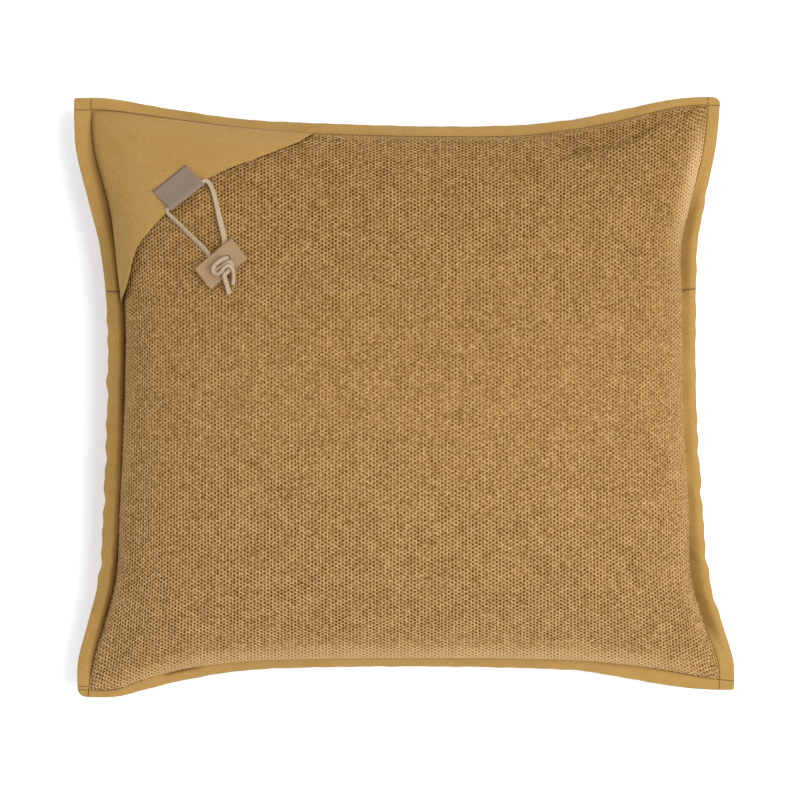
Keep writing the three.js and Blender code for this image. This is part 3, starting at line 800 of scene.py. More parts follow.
def settle_cover():
    """Lets the filled cover settle under pressure, and keeps how far each point of both panels moves."""
    u, v = np.meshgrid(np.linspace(0, 1, SETTLE["columns"] + 1), np.linspace(0, 1, SETTLE["rows"] + 1))
    face, back = modelled_face(u, v), modelled_back(u, v)
    seam = np.ones(u.shape, bool)
    seam[1:-1, 1:-1] = False
    level = seam_height(share_at(u), share_at(v)) - sunk(share_at(u), share_at(v))
    for panel in (face, back):
        panel[..., 2] = level + (panel[..., 2] - level) * SETTLE["start"]
    face_index = np.arange(u.size).reshape(u.shape)
    back_index = face_index.copy()
    back_index[~seam] = u.size + np.arange((~seam).sum())
    points = np.concatenate([face.reshape(-1, 3), back[~seam]])
    quads = np.concatenate([grid_quads(face_index), grid_quads(back_index)[:, ::-1]])
    after = blown_up(points, quads, face_index[seam])
    for name, index, modelled in (("face", face_index, modelled_face), ("back", back_index, modelled_back)):
        before = modelled(u, v)
        move = after[index] - before
        length = np.linalg.norm(move, axis=-1, keepdims=True)
        move *= np.minimum(1, SETTLE["cap"] / np.maximum(length, 1e-9))
        away = np.hypot(before[..., 0] - STILL["x"], before[..., 1] - STILL["y"])
        move *= (1 - np.exp(-((away / STILL["radius"]) ** 2)))[..., None]
        move[seam] = 0
        MOVES[name] = move


def read_moves(name, u, v):
    """Reads a panel's moves between its grid's points, on smooth curves both ways."""
    grid = np.pad(MOVES[name], ((1, 1), (1, 1), (0, 0)), mode="reflect", reflect_type="odd")
    rows, columns = grid.shape[0] - 3, grid.shape[1] - 3
    x, y = np.clip(u, 0, 1) * columns, np.clip(v, 0, 1) * rows
    i, j = np.minimum(x.astype(int), columns - 1), np.minimum(y.astype(int), rows - 1)

    def weights(t):
        return [(1 - t) ** 3 / 6, (3 * t**3 - 6 * t * t + 4) / 6,
                (-3 * t**3 + 3 * t * t + 3 * t + 1) / 6, t**3 / 6]

    across, up = weights((x - i)[..., None]), weights((y - j)[..., None])
    return sum(up[b] * across[a] * grid[j + b, i + a] for a in range(4) for b in range(4))


def face_point(u, v, creased=True):
    return modelled_face(u, v, creased) + read_moves("face", u, v)


def back_point(u, v):
    point = modelled_back(u, v) + read_moves("back", u, v)
    point[..., 2] = np.where(modelled_back(u, v)[..., 2] <= 0, 0.0, np.maximum(point[..., 2], 0.0))
    return point


# Meshes: a form is points, faces and one place on the cloth, in millimetres, for each face's corner

Form = namedtuple("Form", "points faces cloth")
CLOTH_UV = "cloth"
GAP_VALUE = "gap"


def grid_quads(index):
    corners = index[:-1, :-1], index[:-1, 1:], index[1:, 1:], index[1:, :-1]
    return np.stack(corners, -1).reshape(-1, 4)


def sheet_form(points, cloth):
    """A sheet of quads over a grid of points."""
    index = np.arange(points.shape[0] * points.shape[1]).reshape(points.shape[:2])
    quads = grid_quads(index)
    return Form(points.reshape(-1, 3), quads, cloth.reshape(-1, 2)[quads].reshape(-1, 2))


def loft_form(rings):
    """A closed skin over rings of an even number of points, with both ends filled straight across."""
    count, around = rings.shape[:2]
    along = travelled_along(rings.mean(axis=1)) * MM_PER_METRE
    girth = travelled_along(np.concatenate([rings[count // 2], rings[count // 2, :1]])) * MM_PER_METRE
    index = np.arange(count * around).reshape(count, around)
    wrapped = np.concatenate([index, index[:, :1]], axis=1)
    place = np.stack(np.meshgrid(along, girth, indexing="ij"), -1)
    corners = [(slice(None, -1), slice(None, -1)), (slice(None, -1), slice(1, None)),
               (slice(1, None), slice(1, None)), (slice(1, None), slice(None, -1))]
    faces = np.stack([wrapped[corner] for corner in corners], -1).reshape(-1, 4)
    cloth = np.stack([place[corner] for corner in corners], -2).reshape(-1, 4, 2)
    k = np.arange(around // 2 - 1)
    cap = np.stack([k, k + 1, around - 2 - k, around - 1 - k], -1)
    for ring, end in ((0, cap[:, ::-1]), (count - 1, cap)):
        faces = np.concatenate([faces, index[ring][end]])
        cloth = np.concatenate([cloth, place[ring][end]])
    points = rings.reshape(-1, 3)
    a, b, c, d = (points[faces[:, k]] for k in range(4))
    volume = np.einsum("ij,ij->", a, np.cross(b, c) + np.cross(c, d))
    if volume < 0:
        faces, cloth = faces[:, ::-1], cloth[:, ::-1]
    return Form(points, faces, cloth.reshape(-1, 2))


def joined(forms):
    starts = np.cumsum([0] + [len(form.points) for form in forms[:-1]])
    return Form(
        np.concatenate([form.points for form in forms]),
        np.concatenate([form.faces + start for form, start in zip(forms, starts)]),
        np.concatenate([form.cloth for form in forms]),
    )


def add_object(name, data):
    thing = bpy.data.objects.new(name, data)
    bpy.context.scene.collection.objects.link(thing)
    return thing


def add_to_cushion(name, mesh):
    piece = add_object(name, mesh)
    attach(piece, BODY_NAME)
    return piece


def add_piece(name, form, material, smooth=True):
    mesh = bpy.data.meshes.new(name)
    mesh.from_pydata(form.points.tolist(), [], form.faces.tolist())
    layer = mesh.uv_layers.new(name=CLOTH_UV)
    layer.data.foreach_set("uv", form.cloth.astype("f").ravel())
    mesh.polygons.foreach_set("use_smooth", [smooth] * len(mesh.polygons))
    mesh.materials.append(material)
    return add_to_cushion(name, mesh)


# Materials

def linear(hex_colour):
    """Turns an sRGB hex colour into the linear colour that a shader takes."""
    channels = [int(hex_colour[k:k + 2], 16) / 255 for k in (1, 3, 5)]
    light = [c / 12.92 if c <= 0.04045 else ((c + 0.055) / 1.055) ** 2.4 for c in channels]
    return (*light, 1.0)


def add_node(tree, kind, inputs=None, **settings):
    """Adds a shader node. An input takes a constant or another node's output."""
    node = tree.nodes.new(kind)
    for key, value in settings.items():
        setattr(node, key, value)
    for key, value in (inputs or {}).items():
        if isinstance(value, bpy.types.NodeSocket):
            tree.links.new(value, node.inputs[key])
        else:
            node.inputs[key].default_value = value
    return node


def new_material(name, constants):
    """A material with one principled shader, whose constant values sit on its own sockets."""
    material = bpy.data.materials.new(name)
    material.use_nodes = True
    tree = material.node_tree
    tree.nodes.clear()
    shader = add_node(tree, "ShaderNodeBsdfPrincipled", constants)
    add_node(tree, "ShaderNodeOutputMaterial", {"Surface": shader.outputs["BSDF"]})
    return material, tree, shader


# Mottling of the yarn: how many columns and rows of stitches each kind spans, and its share. Patches
# spread wide, streaks run along a row for a few stitches, and flecks are smaller than one loop.
Mottle = namedtuple("Mottle", "columns rows share")
MOTTLES = [Mottle(9.0, 7.0, 0.22), Mottle(3.5, 0.9, 0.27), Mottle(0.24, 0.24, 2.2)]
MOTTLE_SPREAD = 0.27


def knitted_yarn():
    """Machine-knitted mottled cotton yarn: matt loops, gaps dark with painted shade, paler and darker
    streaks.
    """
    material, tree, shader = new_material(
        "knitted mottled cotton yarn", {"Roughness": 0.95, "IOR": 1.5, "Specular IOR Level": 0.1}
    )
    place = add_node(tree, "ShaderNodeUVMap", uv_map=CLOTH_UV)
    mottle = 0.0
    for row in MOTTLES:
        # The cloth's places are in millimetres; this counts columns and rows of stitches.
        size = (0.001 / WALE / row.columns, 0.001 / COURSE / row.rows, 1.0)
        spot = add_node(tree, "ShaderNodeVectorMath", {0: place.outputs["UV"], 1: size}, operation="MULTIPLY")
        noise = add_node(tree, "ShaderNodeTexNoise", {"Vector": spot.outputs[0], "Scale": 1.0, "Detail": 2.0})
        added = {0: noise.outputs["Fac"], 1: row.share, 2: mottle}
        mottle = add_node(tree, "ShaderNodeMath", added, operation="MULTIPLY_ADD").outputs[0]
    middle = sum(row.share for row in MOTTLES) / 2
    level = add_node(
        tree,
        "ShaderNodeMapRange",
        {"Value": mottle, "From Min": middle - MOTTLE_SPREAD, "From Max": middle + MOTTLE_SPREAD},
    )
    yarn = add_node(
        tree,
        "ShaderNodeMix",
        {"Factor": level.outputs[0], 6: linear("#5E3F16"), 7: linear("#B88F56")},
        data_type="RGBA",
    )
    gap = add_node(tree, "ShaderNodeAttribute", attribute_name=GAP_VALUE)
    gap_shade = add_node(
        tree,
        "ShaderNodeMapRange",
        {"Value": gap.outputs["Fac"], "From Min": 0.15, "From Max": 0.95},
        interpolation_type="SMOOTHSTEP",
    )
    # Below zero, the value says how far a loop stands up or is stretched. Both are painted paler: a painted
    # highlight on raised loops, and partly painted light beside the seams.
    raised = add_node(
        tree,
        "ShaderNodeMapRange",
        {"Value": gap.outputs["Fac"], "From Min": 0.0, "From Max": -1.0, "To Max": 0.8},
    )
    paler = add_node(
        tree,
        "ShaderNodeMix",
        {"Factor": raised.outputs[0], 6: yarn.outputs[2], 7: linear("#D4B486")},
        data_type="RGBA",
    )
    # Open gaps are painted dark brown: painted shade in the recesses between the loops.
    colour = add_node(
        tree,
        "ShaderNodeMix",
        {"Factor": gap_shade.outputs[0], 6: paler.outputs[2], 7: linear("#4A2A00")},
        data_type="RGBA",
    )
    bump = add_node(tree, "ShaderNodeBump", {"Height": mottle, "Strength": 0.5, "Distance": 0.0005})
    tree.links.new(colour.outputs[2], shader.inputs["Base Color"])
    tree.links.new(bump.outputs[0], shader.inputs["Normal"])
    return material


def woven_canvas():
    """Plain woven cotton canvas: matt, a little uneven in its dye, with slubs and threads that show."""
    material, tree, shader = new_material(
        "plain woven cotton canvas", {"Roughness": 0.85, "IOR": 1.5, "Specular IOR Level": 0.2}
    )
    place = add_node(tree, "ShaderNodeUVMap", uv_map=CLOTH_UV)
    parts = add_node(tree, "ShaderNodeSeparateXYZ", {0: place.outputs["UV"]})
    # Threads lie 0.5 mm apart; they are drawn 1.1 mm apart, because finer ones don't show in the render.
    turn = 2 * math.pi / 1.1
    # Slubs are thick stretches of single threads, about 4 mm long and 0.6 mm wide.
    slub_sizes = {"X": (1 / 4, 1 / 0.625, 1.0), "Y": (1 / 0.625, 1 / 4, 1.0)}
    waves, slubs = [], []
    for axis, size in slub_sizes.items():
        phase = add_node(tree, "ShaderNodeMath", {0: parts.outputs[axis], 1: turn}, operation="MULTIPLY")
        wave = add_node(tree, "ShaderNodeMath", {0: phase.outputs[0]}, operation="SINE")
        waves.append(wave.outputs[0])
        spot = add_node(tree, "ShaderNodeVectorMath", {0: place.outputs["UV"], 1: size}, operation="MULTIPLY")
        slub = add_node(tree, "ShaderNodeTexNoise", {"Vector": spot.outputs[0], "Scale": 1.0, "Detail": 2.0})
        slubs.append(slub.outputs["Fac"])
    weave = add_node(tree, "ShaderNodeMath", dict(enumerate(waves)), operation="MULTIPLY")
    slub_sum = add_node(tree, "ShaderNodeMath", dict(enumerate(slubs)), operation="ADD")
    slub_level = add_node(
        tree, "ShaderNodeMapRange", {"Value": slub_sum.outputs[0], "From Min": 0.7, "From Max": 1.3}
    )
    # The dye is uneven in patches about 30 mm wide.
    fade = add_node(
        tree, "ShaderNodeTexNoise", {"Vector": place.outputs["UV"], "Scale": 0.035, "Detail": 2.0}
    )
    thread = add_node(
        tree,
        "ShaderNodeMix",
        {"Factor": slub_level.outputs[0], 6: linear("#9A753B"), 7: linear("#AA8950")},
        data_type="RGBA",
    )
    fade_level = add_node(
        tree,
        "ShaderNodeMapRange",
        {"Value": fade.outputs["Fac"], "From Min": 0.35, "From Max": 0.65, "To Max": 0.35},
    )
    colour = add_node(
        tree,
        "ShaderNodeMix",
        {"Factor": fade_level.outputs[0], 6: thread.outputs[2], 7: linear("#957334")},
        data_type="RGBA",
    )
    height = add_node(
        tree,
        "ShaderNodeMath",
        {0: weave.outputs[0], 1: 0.35, 2: slub_sum.outputs[0]},
        operation="MULTIPLY_ADD",
    )
    bump = add_node(
        tree, "ShaderNodeBump", {"Height": height.outputs[0], "Strength": 0.35, "Distance": 0.0002}
    )
    tree.links.new(colour.outputs[2], shader.inputs["Base Color"])
    tree.links.new(bump.outputs[0], shader.inputs["Normal"])
    return material


def sewing_thread():
    """Twisted polyester sewing thread: dark brown with a faint gloss on each stitch."""
    material, tree, shader = new_material(
        "twisted polyester sewing thread", {"Roughness": 0.6, "IOR": 1.55, "Specular IOR Level": 0.3}
    )
    place = add_node(tree, "ShaderNodeUVMap", uv_map=CLOTH_UV)
    # The thread's ply turns about every 0.6 mm.
    ply = add_node(
        tree,
        "ShaderNodeTexWave",
        {"Vector": place.outputs["UV"], "Scale": 0.5, "Distortion": 1.0},
        bands_direction="DIAGONAL",
    )
    colour = add_node(
        tree,
        "ShaderNodeMix",
        {"Factor": ply.outputs["Fac"], 6: linear("#46301A"), 7: linear("#634828")},
        data_type="RGBA",
    )
    tree.links.new(colour.outputs[2], shader.inputs["Base Color"])
    return material


def woven_tape():
    """Finely woven cotton tape: close twill, matt, slightly streaked along its threads."""
    material, tree, shader = new_material(
        "twill woven cotton tape", {"Roughness": 0.8, "IOR": 1.5, "Specular IOR Level": 0.25}
    )
    place = add_node(tree, "ShaderNodeUVMap", uv_map=CLOTH_UV)
    # Twill lines lie 0.4 mm apart; they are drawn about 1 mm apart, because finer ones don't show.
    twill = add_node(
        tree,
        "ShaderNodeTexWave",
        {"Vector": place.outputs["UV"], "Scale": 0.33, "Distortion": 0.6, "Detail": 1.0},
        bands_direction="DIAGONAL",
    )
    # Streaks are about 8 mm long and 0.7 mm wide.
    size = (0.12, 1.4, 1.0)
    spot = add_node(tree, "ShaderNodeVectorMath", {0: place.outputs["UV"], 1: size}, operation="MULTIPLY")
    streaks = add_node(tree, "ShaderNodeTexNoise", {"Vector": spot.outputs[0], "Scale": 1.0, "Detail": 3.0})
    colour = add_node(
        tree,
        "ShaderNodeMix",
        {"Factor": streaks.outputs["Fac"], 6: linear("#736151"), 7: linear("#8C7B6D")},
        data_type="RGBA",
    )
    bump = add_node(
        tree, "ShaderNodeBump", {"Height": twill.outputs["Fac"], "Strength": 0.3, "Distance": 0.00015}
    )
    tree.links.new(colour.outputs[2], shader.inputs["Base Color"])
    tree.links.new(bump.outputs[0], shader.inputs["Normal"])
    return material


def braided_cotton():
    """Soft flat braided cotton: undyed, matt and a little fuzzy, with slanting plaits."""
    material, tree, shader = new_material(
        "flat braided natural cotton",
        {
            "Roughness": 0.9,
            "IOR": 1.5,
            "Specular IOR Level": 0.2,
            "Sheen Weight": 0.2,
            "Sheen Roughness": 0.5,
        },
    )
    place = add_node(tree, "ShaderNodeUVMap", uv_map=CLOTH_UV)
    # Plaits cross the cord every 1.2 mm.
    plaits = add_node(
        tree,
        "ShaderNodeTexWave",
        {"Vector": place.outputs["UV"], "Scale": 0.26, "Distortion": 1.2, "Detail": 1.0},
        bands_direction="DIAGONAL",
    )
    # Its fibres clump every 0.4 mm.
    fibres = add_node(
        tree, "ShaderNodeTexNoise", {"Vector": place.outputs["UV"], "Scale": 2.5, "Detail": 3.0}
    )
    level = add_node(
        tree, "ShaderNodeMath", {0: plaits.outputs["Fac"], 1: fibres.outputs["Fac"]}, operation="MULTIPLY"
    )
    colour = add_node(
        tree,
        "ShaderNodeMix",
        {"Factor": level.outputs[0], 6: linear("#9C876D"), 7: linear("#BEAA8D")},
        data_type="RGBA",
    )
    bump = add_node(tree, "ShaderNodeBump", {"Height": level.outputs[0], "Strength": 0.3, "Distance": 0.0002})
    tree.links.new(colour.outputs[2], shader.inputs["Base Color"])
    tree.links.new(bump.outputs[0], shader.inputs["Normal"])
    return material


def tanned_leather():
    """Vegetable-tanned leather, cut from smooth hide: fine pebbled grain, uneven tan, a soft satin gloss."""
    material, tree, shader = new_material(
        "vegetable-tanned smooth leather", {"Roughness": 0.55, "IOR": 1.5, "Specular IOR Level": 0.35}
    )
    place = add_node(tree, "ShaderNodeTexCoord")
    # Grain pebbles are about 0.5 mm; they are drawn 0.9 mm wide, because finer ones don't show.
    grain = add_node(tree, "ShaderNodeTexVoronoi", {"Vector": place.outputs["Object"], "Scale": 1100.0})
    # The tan is uneven in patches about 5.5 mm wide.
    mottle = add_node(
        tree, "ShaderNodeTexNoise", {"Vector": place.outputs["Object"], "Scale": 180.0, "Detail": 4.0}
    )
    colour = add_node(
        tree,
        "ShaderNodeMix",
        {"Factor": mottle.outputs["Fac"], 6: linear("#876C4A"), 7: linear("#A28562")},
        data_type="RGBA",
    )
    bump = add_node(
        tree, "ShaderNodeBump", {"Height": grain.outputs["Distance"], "Strength": 0.25, "Distance": 0.0002}
    )
    tree.links.new(colour.outputs[2], shader.inputs["Base Color"])
    tree.links.new(bump.outputs[0], shader.inputs["Normal"])
    return material


def cut_leather():
    """The raw cut edge of the same hide: paler, dry and fibrous."""
    material, tree, shader = new_material(
        "raw cut edge of tanned leather", {"Roughness": 0.9, "IOR": 1.5, "Specular IOR Level": 0.15}
    )
    place = add_node(tree, "ShaderNodeTexCoord")
    # Bundles of fibres are about 0.7 mm wide.
    fibres = add_node(
        tree, "ShaderNodeTexNoise", {"Vector": place.outputs["Object"], "Scale": 1500.0, "Detail": 3.0}
    )
    colour = add_node(
        tree,
        "ShaderNodeMix",
        {"Factor": fibres.outputs["Fac"], 6: linear("#8E785B"), 7: linear("#AD9A7D")},
        data_type="RGBA",
    )
    bump = add_node(
        tree, "ShaderNodeBump", {"Height": fibres.outputs["Fac"], "Strength": 0.5, "Distance": 0.0003}
    )
    tree.links.new(colour.outputs[2], shader.inputs["Base Color"])
    tree.links.new(bump.outputs[0], shader.inputs["Normal"])
    return material


def glowing_table():
    """Frosted white acrylic that glows a cool white: painted light that keeps shadows on it pale and cool."""
    material, tree, shader = new_material(
        "frosted white acrylic",
        {
            "Roughness": 0.9,
            "IOR": 1.49,
            "Specular IOR Level": 0.1,
            # The emission is painted light: the table glows cool white, with no lamp below it.
            "Emission Color": linear("#E0EEFF"),
            "Emission Strength": 0.29,
        },
    )
    place = add_node(tree, "ShaderNodeTexCoord")
    # Its white varies by a trace, in patches about 33 mm wide.
    grain = add_node(tree, "ShaderNodeTexNoise", {"Vector": place.outputs["Object"], "Scale": 30.0})
    colour = add_node(
        tree,
        "ShaderNodeMix",
        {"Factor": grain.outputs["Fac"], 6: linear("#FAFAFA"), 7: linear("#FCFCFC")},
        data_type="RGBA",
    )
    tree.links.new(colour.outputs[2], shader.inputs["Base Color"])
    return material


# Camera and light

def add_camera():
    camera = add_object("camera", bpy.data.cameras.new("camera"))
    camera.location = (CAMERA["x"], CAMERA["y"], CAMERA["height"])
    camera.data.sensor_width = CAMERA["sensor_mm"]
    camera.data.lens = CAMERA["sensor_mm"] * (CAMERA["height"] - SEEN_LEVEL) / SEEN_WIDTH
    camera.data.clip_end = CAMERA["clip_end"]
    bpy.context.scene.camera = camera


# A soft box above and a lit card low down: where each stands, its width and its power in watts. Both face
# the cushion, and white light comes from all round.
Lamp = namedtuple("Lamp", "name x y z size power")
LAMPS = [
    Lamp("key", 1.02, 0.05, 2.40, 1.8, 63.0),
    Lamp("low card", 0.10, -1.90, 0.40, 1.0, 4.5),
]
AMBIENT = 0.75


def add_light():
    world = bpy.data.worlds.new("studio")
    bpy.context.scene.world = world
    world.use_nodes = True
    background = world.node_tree.nodes["Background"]
    background.inputs["Color"].default_value = (1.0, 1.0, 1.0, 1.0)
    background.inputs["Strength"].default_value = AMBIENT
    for row in LAMPS:
        lamp = bpy.data.lights.new(row.name, "AREA")
        lamp.size = row.size
        lamp.energy = row.power
        box = add_object(row.name, lamp)
        box.location = (row.x, row.y, row.z)
        box.rotation_euler = (-box.location).to_track_quat("-Z", "Y").to_euler()
        box.visible_camera = False
    bpy.context.scene.view_settings.view_transform = "Standard"


def add_floor():
    corners = np.array([(-1, -1, 0), (1, -1, 0), (1, 1, 0), (-1, 1, 0)]) * FLOOR_HALF
    mesh = bpy.data.meshes.new("floor")
    mesh.from_pydata(corners.tolist(), [], [(0, 1, 2, 3)])
    mesh.materials.append(glowing_table())
    floor = add_object("floor", mesh)


# Frames on the face, as in the solids

def seated_frame(piece, clear):
    """A frame for a flat piece on the face. Its rows are X along the long side, Y up the face, Z off it and
    the middle of its underside."""
    u, v = stations_under(np.array([piece["x"], piece["y"]]))
    middle = modelled_face(u, v)
    off = normals_of(modelled_face, u, v)
    angle = math.radians(piece["turn"])
    long = np.array([math.cos(angle), math.sin(angle), 0.0])
    long = unit(long - off * (long @ off))
    tilt = math.radians(piece.get("tilt", 0))
    off = off * math.cos(tilt) + np.cross(long, off) * math.sin(tilt)
    short = np.cross(off, long)
    leaning = short - long * piece.get("lean", 0)
    samples = 5
    i, j = np.meshgrid(np.linspace(-0.5, 0.5, samples), np.linspace(-0.5, 0.5, samples))
    under = middle + i[..., None] * piece["length"] * long + j[..., None] * piece["width"] * short
    heights = (over_face(under[..., :2], np.full(i.shape, clear)) - middle) @ off
    return np.stack([long, leaning, off, middle + off * heights.max()])


def in_frame(seat, places):
    places = np.asarray(places, float)
    return places @ seat[:3] + seat[3]


# Cords

def swept_rings(route, first_normal, widths, heights, sides=CORD_SIDES):
    """Flat rounded sections along a route, turned as little as the route lets them."""
    forward = unit(np.gradient(route, axis=0))
    normal = first_normal
    rings = []
    angle = np.linspace(0, 2 * np.pi, sides, endpoint=False)
    across, off = (np.sign(turn) * np.abs(turn) ** SECTION_POWER for turn in (np.cos(angle), np.sin(angle)))
    for place, ahead, width, height in zip(route, forward, widths, heights):
        normal = unit(normal - ahead * (normal @ ahead))
        side = np.cross(ahead, normal)
        rings.append(place + np.outer(across * width / 2, side) + np.outer(off * height / 2, normal))
    return np.array(rings)


def plaited(rings, route):
    """Raises the slanting plaits of a braid on a swept cord."""
    travelled = travelled_along(route)[:, None]
    angle = np.linspace(0, 2 * np.pi, rings.shape[1], endpoint=False)[None, :]
    slant = 2 * np.arccos(np.clip(np.abs(np.cos(angle)), 0, 1))
    wave = np.cos(2 * np.pi * travelled / PLAIT_LENGTH + slant) * np.abs(np.sin(angle))
    return rings + unit(rings - route[:, None]) * (wave * PLAIT_RISE)[..., None]


def cord_route(side, leg):
    """A leg's route from the middle of the label's fold into the toggle's hole, where it leaves the label,
    and the direction off the label."""
    label_seat, toggle_seat = seated_frame(LABEL, LABEL_CLEARANCE), seated_frame(TOGGLE, TOGGLE_CLEARANCE)
    half = LABEL["length"] / 2
    in_label = in_frame(label_seat, [(side * x, TUNNEL_Y, TUNNEL_Z) for x in (LEG_GAP / 2, half / 2, half)])
    leg = np.array(leg)
    across_face = over_face(leg[:, :2], leg[:, 2])
    into_hole = in_frame(toggle_seat, [(side * HOLE_SPACING / 2, back, above) for back, above in INTO_HOLE])
    return np.concatenate([in_label, across_face, into_hole]), in_label[-1], label_seat[2]


def add_cord(name, side, leg, material):
    points, leaves_label, normal = cord_route(side, leg)
    route = smooth_route(points, CORD_STEP)
    travelled = travelled_along(route)
    widening = smooth_step((travelled / travelled[-1] - LEG_EVEN) / (1 - 2 * LEG_EVEN))
    widths = CORD_AT_LABEL + (CORD_WIDTH - CORD_AT_LABEL) * widening
    unfolded = smooth_step((travelled[-1] - travelled - HOLE_FOLD["length"]) / HOLE_FOLD["fade"])
    widths *= HOLE_FOLD["share"] + (1 - HOLE_FOLD["share"]) * unfolded
    rings = swept_rings(route, normal, widths, np.full(len(route), CORD_THICKNESS))
    cord = add_piece(name, loft_form(plaited(rings, route)), material)
    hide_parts(name)
    facts = {"length": round(float(travelled[-1]), 4), "exit": tuple(float(x) for x in leaves_label)}
    return cord, route, facts


def add_knot(material):
    seat = seated_frame(TOGGLE, TOGGLE_CLEARANCE)
    strands = []
    for rows in (LEFT_STRAND, RIGHT_STRAND):
        places = [(along, -across, TOGGLE_THICKNESS + above) for along, across, above in rows]
        route = smooth_route(in_frame(seat, places), CORD_STEP / 2)
        travelled = travelled_along(route)
        from_tail = travelled[-1] - travelled
        splay = 1 + TAIL_SPLAY["share"] * np.exp(-((from_tail / TAIL_SPLAY["length"]) ** 2))
        rings = swept_rings(route, seat[1], STRAND_WIDTH * splay, np.full(len(route), STRAND_THICKNESS))
        strands.append(loft_form(plaited(rings, route)))
    knot = add_piece("knot_strands", joined(strands), material)
    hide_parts("knot")
    return knot


# The toggle

def plate_loops():
    """The plate's outline, slightly uneven as cut by hand, and its two round holes."""
    rng = np.random.default_rng(5)
    half_long, half_short = TOGGLE["length"] / 2, TOGGLE["width"] / 2
    corners = np.array([(1, 1), (-1, 1), (-1, -1), (1, -1)]) * (half_long, half_short)
    loop = []
    for start, end in zip(corners, np.roll(corners, -1, axis=0)):
        ahead = unit(end - start)
        first, last = start + ahead * TOGGLE_CUT["clip"], end - ahead * TOGGLE_CUT["clip"]
        outward = np.array([ahead[1], -ahead[0]])
        waver = rng.normal(0, TOGGLE_CUT["waver"], TOGGLE_CUT["points"])
        for share, move in zip(np.linspace(0, 1, TOGGLE_CUT["points"]), waver):
            loop.append(first + (last - first) * share + outward * move)
    angle = np.linspace(0, 2 * np.pi, HOLE_POINTS, endpoint=False)
    ring = HOLE_RADIUS * np.stack([np.cos(angle), np.sin(angle)], -1)
    return [loop] + [ring + (side * HOLE_SPACING / 2, 0) for side in (-1, 1)]


def plate_mesh():
    """A flat plate with softened edges, in the toggle's own frame."""
    outline = bpy.data.curves.new("toggle outline", "CURVE")
    outline.dimensions = "2D"
    outline.fill_mode = "BOTH"
    outline.extrude = TOGGLE_THICKNESS / 2 - TOGGLE_ROUND
    outline.bevel_depth = TOGGLE_ROUND
    outline.bevel_resolution = 3
    outline.offset = -TOGGLE_ROUND
    for loop in plate_loops():
        spline = outline.splines.new("POLY")
        spline.points.add(len(loop) - 1)
        spline.use_cyclic_u = True
        for point, (x, y) in zip(spline.points, loop):
            point.co = (x, y, 0, 1)
    holder = add_object("toggle outline", outline)
    mesh = bpy.data.meshes.new_from_object(holder.evaluated_get(bpy.context.evaluated_depsgraph_get()))
    bpy.data.objects.remove(holder)
    bpy.data.curves.remove(outline)
    return mesh


def add_toggle(face_material, edge_material):
    """A plate cut from hide, with two punched holes."""
    mesh = plate_mesh()
    flat = np.array([vertex.co for vertex in mesh.vertices])
    rises = np.array([abs(polygon.normal.z) for polygon in mesh.polygons])
    flat[:, 2] += TOGGLE_THICKNESS / 2
    seat = seated_frame(TOGGLE, TOGGLE_CLEARANCE)
    mesh.vertices.foreach_set("co", in_frame(seat, flat).ravel())
    mesh.materials.clear()
    mesh.materials.append(face_material)
    mesh.materials.append(edge_material)
    mesh.polygons.foreach_set("material_index", (rises < CUT_EDGE_RISE).astype("i"))
    mesh.polygons.foreach_set("use_smooth", [False] * len(mesh.polygons))
    mesh.update()
    toggle = add_to_cushion("leather_toggle", mesh)
    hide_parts("toggle")
    return toggle


# Sewing

def stitch_forms(route, normals, length=STITCH_LENGTH, space=STITCH_SPACE, radius=THREAD_RADIUS):
    """A row of stitches that fills a route. Each rises from the cloth and dips back into it."""
    travelled = travelled_along(route)
    count = max(1, round((travelled[-1] + space) / (length + space)))
    length = (travelled[-1] + space) / count - space
    shares = np.linspace(0, 1, len(STITCH_RISE))
    lift = radius * STITCH_RISE
    thick = 2 * radius * STITCH_GIRTH
    forms = []
    for start in np.arange(count) * (length + space):
        at = start + shares * length
        place = np.stack([np.interp(at, travelled, route[:, k]) for k in range(3)], -1)
        normal = np.array([np.interp(at[2], travelled, normals[:, k]) for k in range(3)])
        line = place + lift[:, None] * unit(normal)
        forms.append(loft_form(swept_rings(line, unit(normal), thick, thick, THREAD_SIDES)))
    return forms


# The knitted face

def cloth_tables():
    """For lines across and up the uncreased face, the stations at even lengths of cloth from its middle."""
    fine = np.linspace(0, 1, KNIT_STATIONS)
    middle = slice(KNIT_STATIONS // 5, KNIT_STATIONS * 4 // 5 + 1)
    lines = np.linspace(0, 1, KNIT_LINES)
    from_seam = FACE_SPAN * np.minimum(share_at(fine), 1 - share_at(fine))[1:]
    taken_up = TAKEN_UP + (1 - TAKEN_UP) * smooth_step(from_seam / TAKEN_UP_REACH)
    tables = []
    for axis in (0, 1):
        u, v = np.meshgrid(fine, lines)
        points = face_point(u, v, False) if axis == 0 else face_point(v, u, False)
        steps = np.diff(points, axis=1)
        steps[..., 2] *= taken_up
        lengths = np.linalg.norm(steps, axis=-1)
        travelled = np.concatenate([np.zeros((KNIT_LINES, 1)), np.cumsum(lengths, axis=1)], axis=1)
        starts = [np.interp(0, row[middle, axis], far[middle]) for row, far in zip(points, travelled)]
        travelled -= np.array(starts)[:, None]
        reach = np.abs(travelled).max()
        even = np.linspace(-reach, reach, KNIT_LENGTHS)
        tables.append((np.array([np.interp(even, far, fine) for far in travelled]), reach))
    return tables


def read_stations(table, line, length):
    """Reads one table of stations between its lines and lengths."""
    stations, reach = table
    i = np.clip(line, 0, 1) * (KNIT_LINES - 1)
    j = np.clip((length / reach + 1) / 2, 0, 1) * (KNIT_LENGTHS - 1)
    first_i = np.minimum(i.astype(int), KNIT_LINES - 2)
    first_j = np.minimum(j.astype(int), KNIT_LENGTHS - 2)
    i, j = i - first_i, j - first_j
    low = stations[first_i, first_j] * (1 - j) + stations[first_i, first_j + 1] * j
    high = stations[first_i + 1, first_j] * (1 - j) + stations[first_i + 1, first_j + 1] * j
    found = low * (1 - i) + high * i
    return np.where(found < SEAM_SNAP, 0.0, np.where(found > 1 - SEAM_SNAP, 1.0, found))


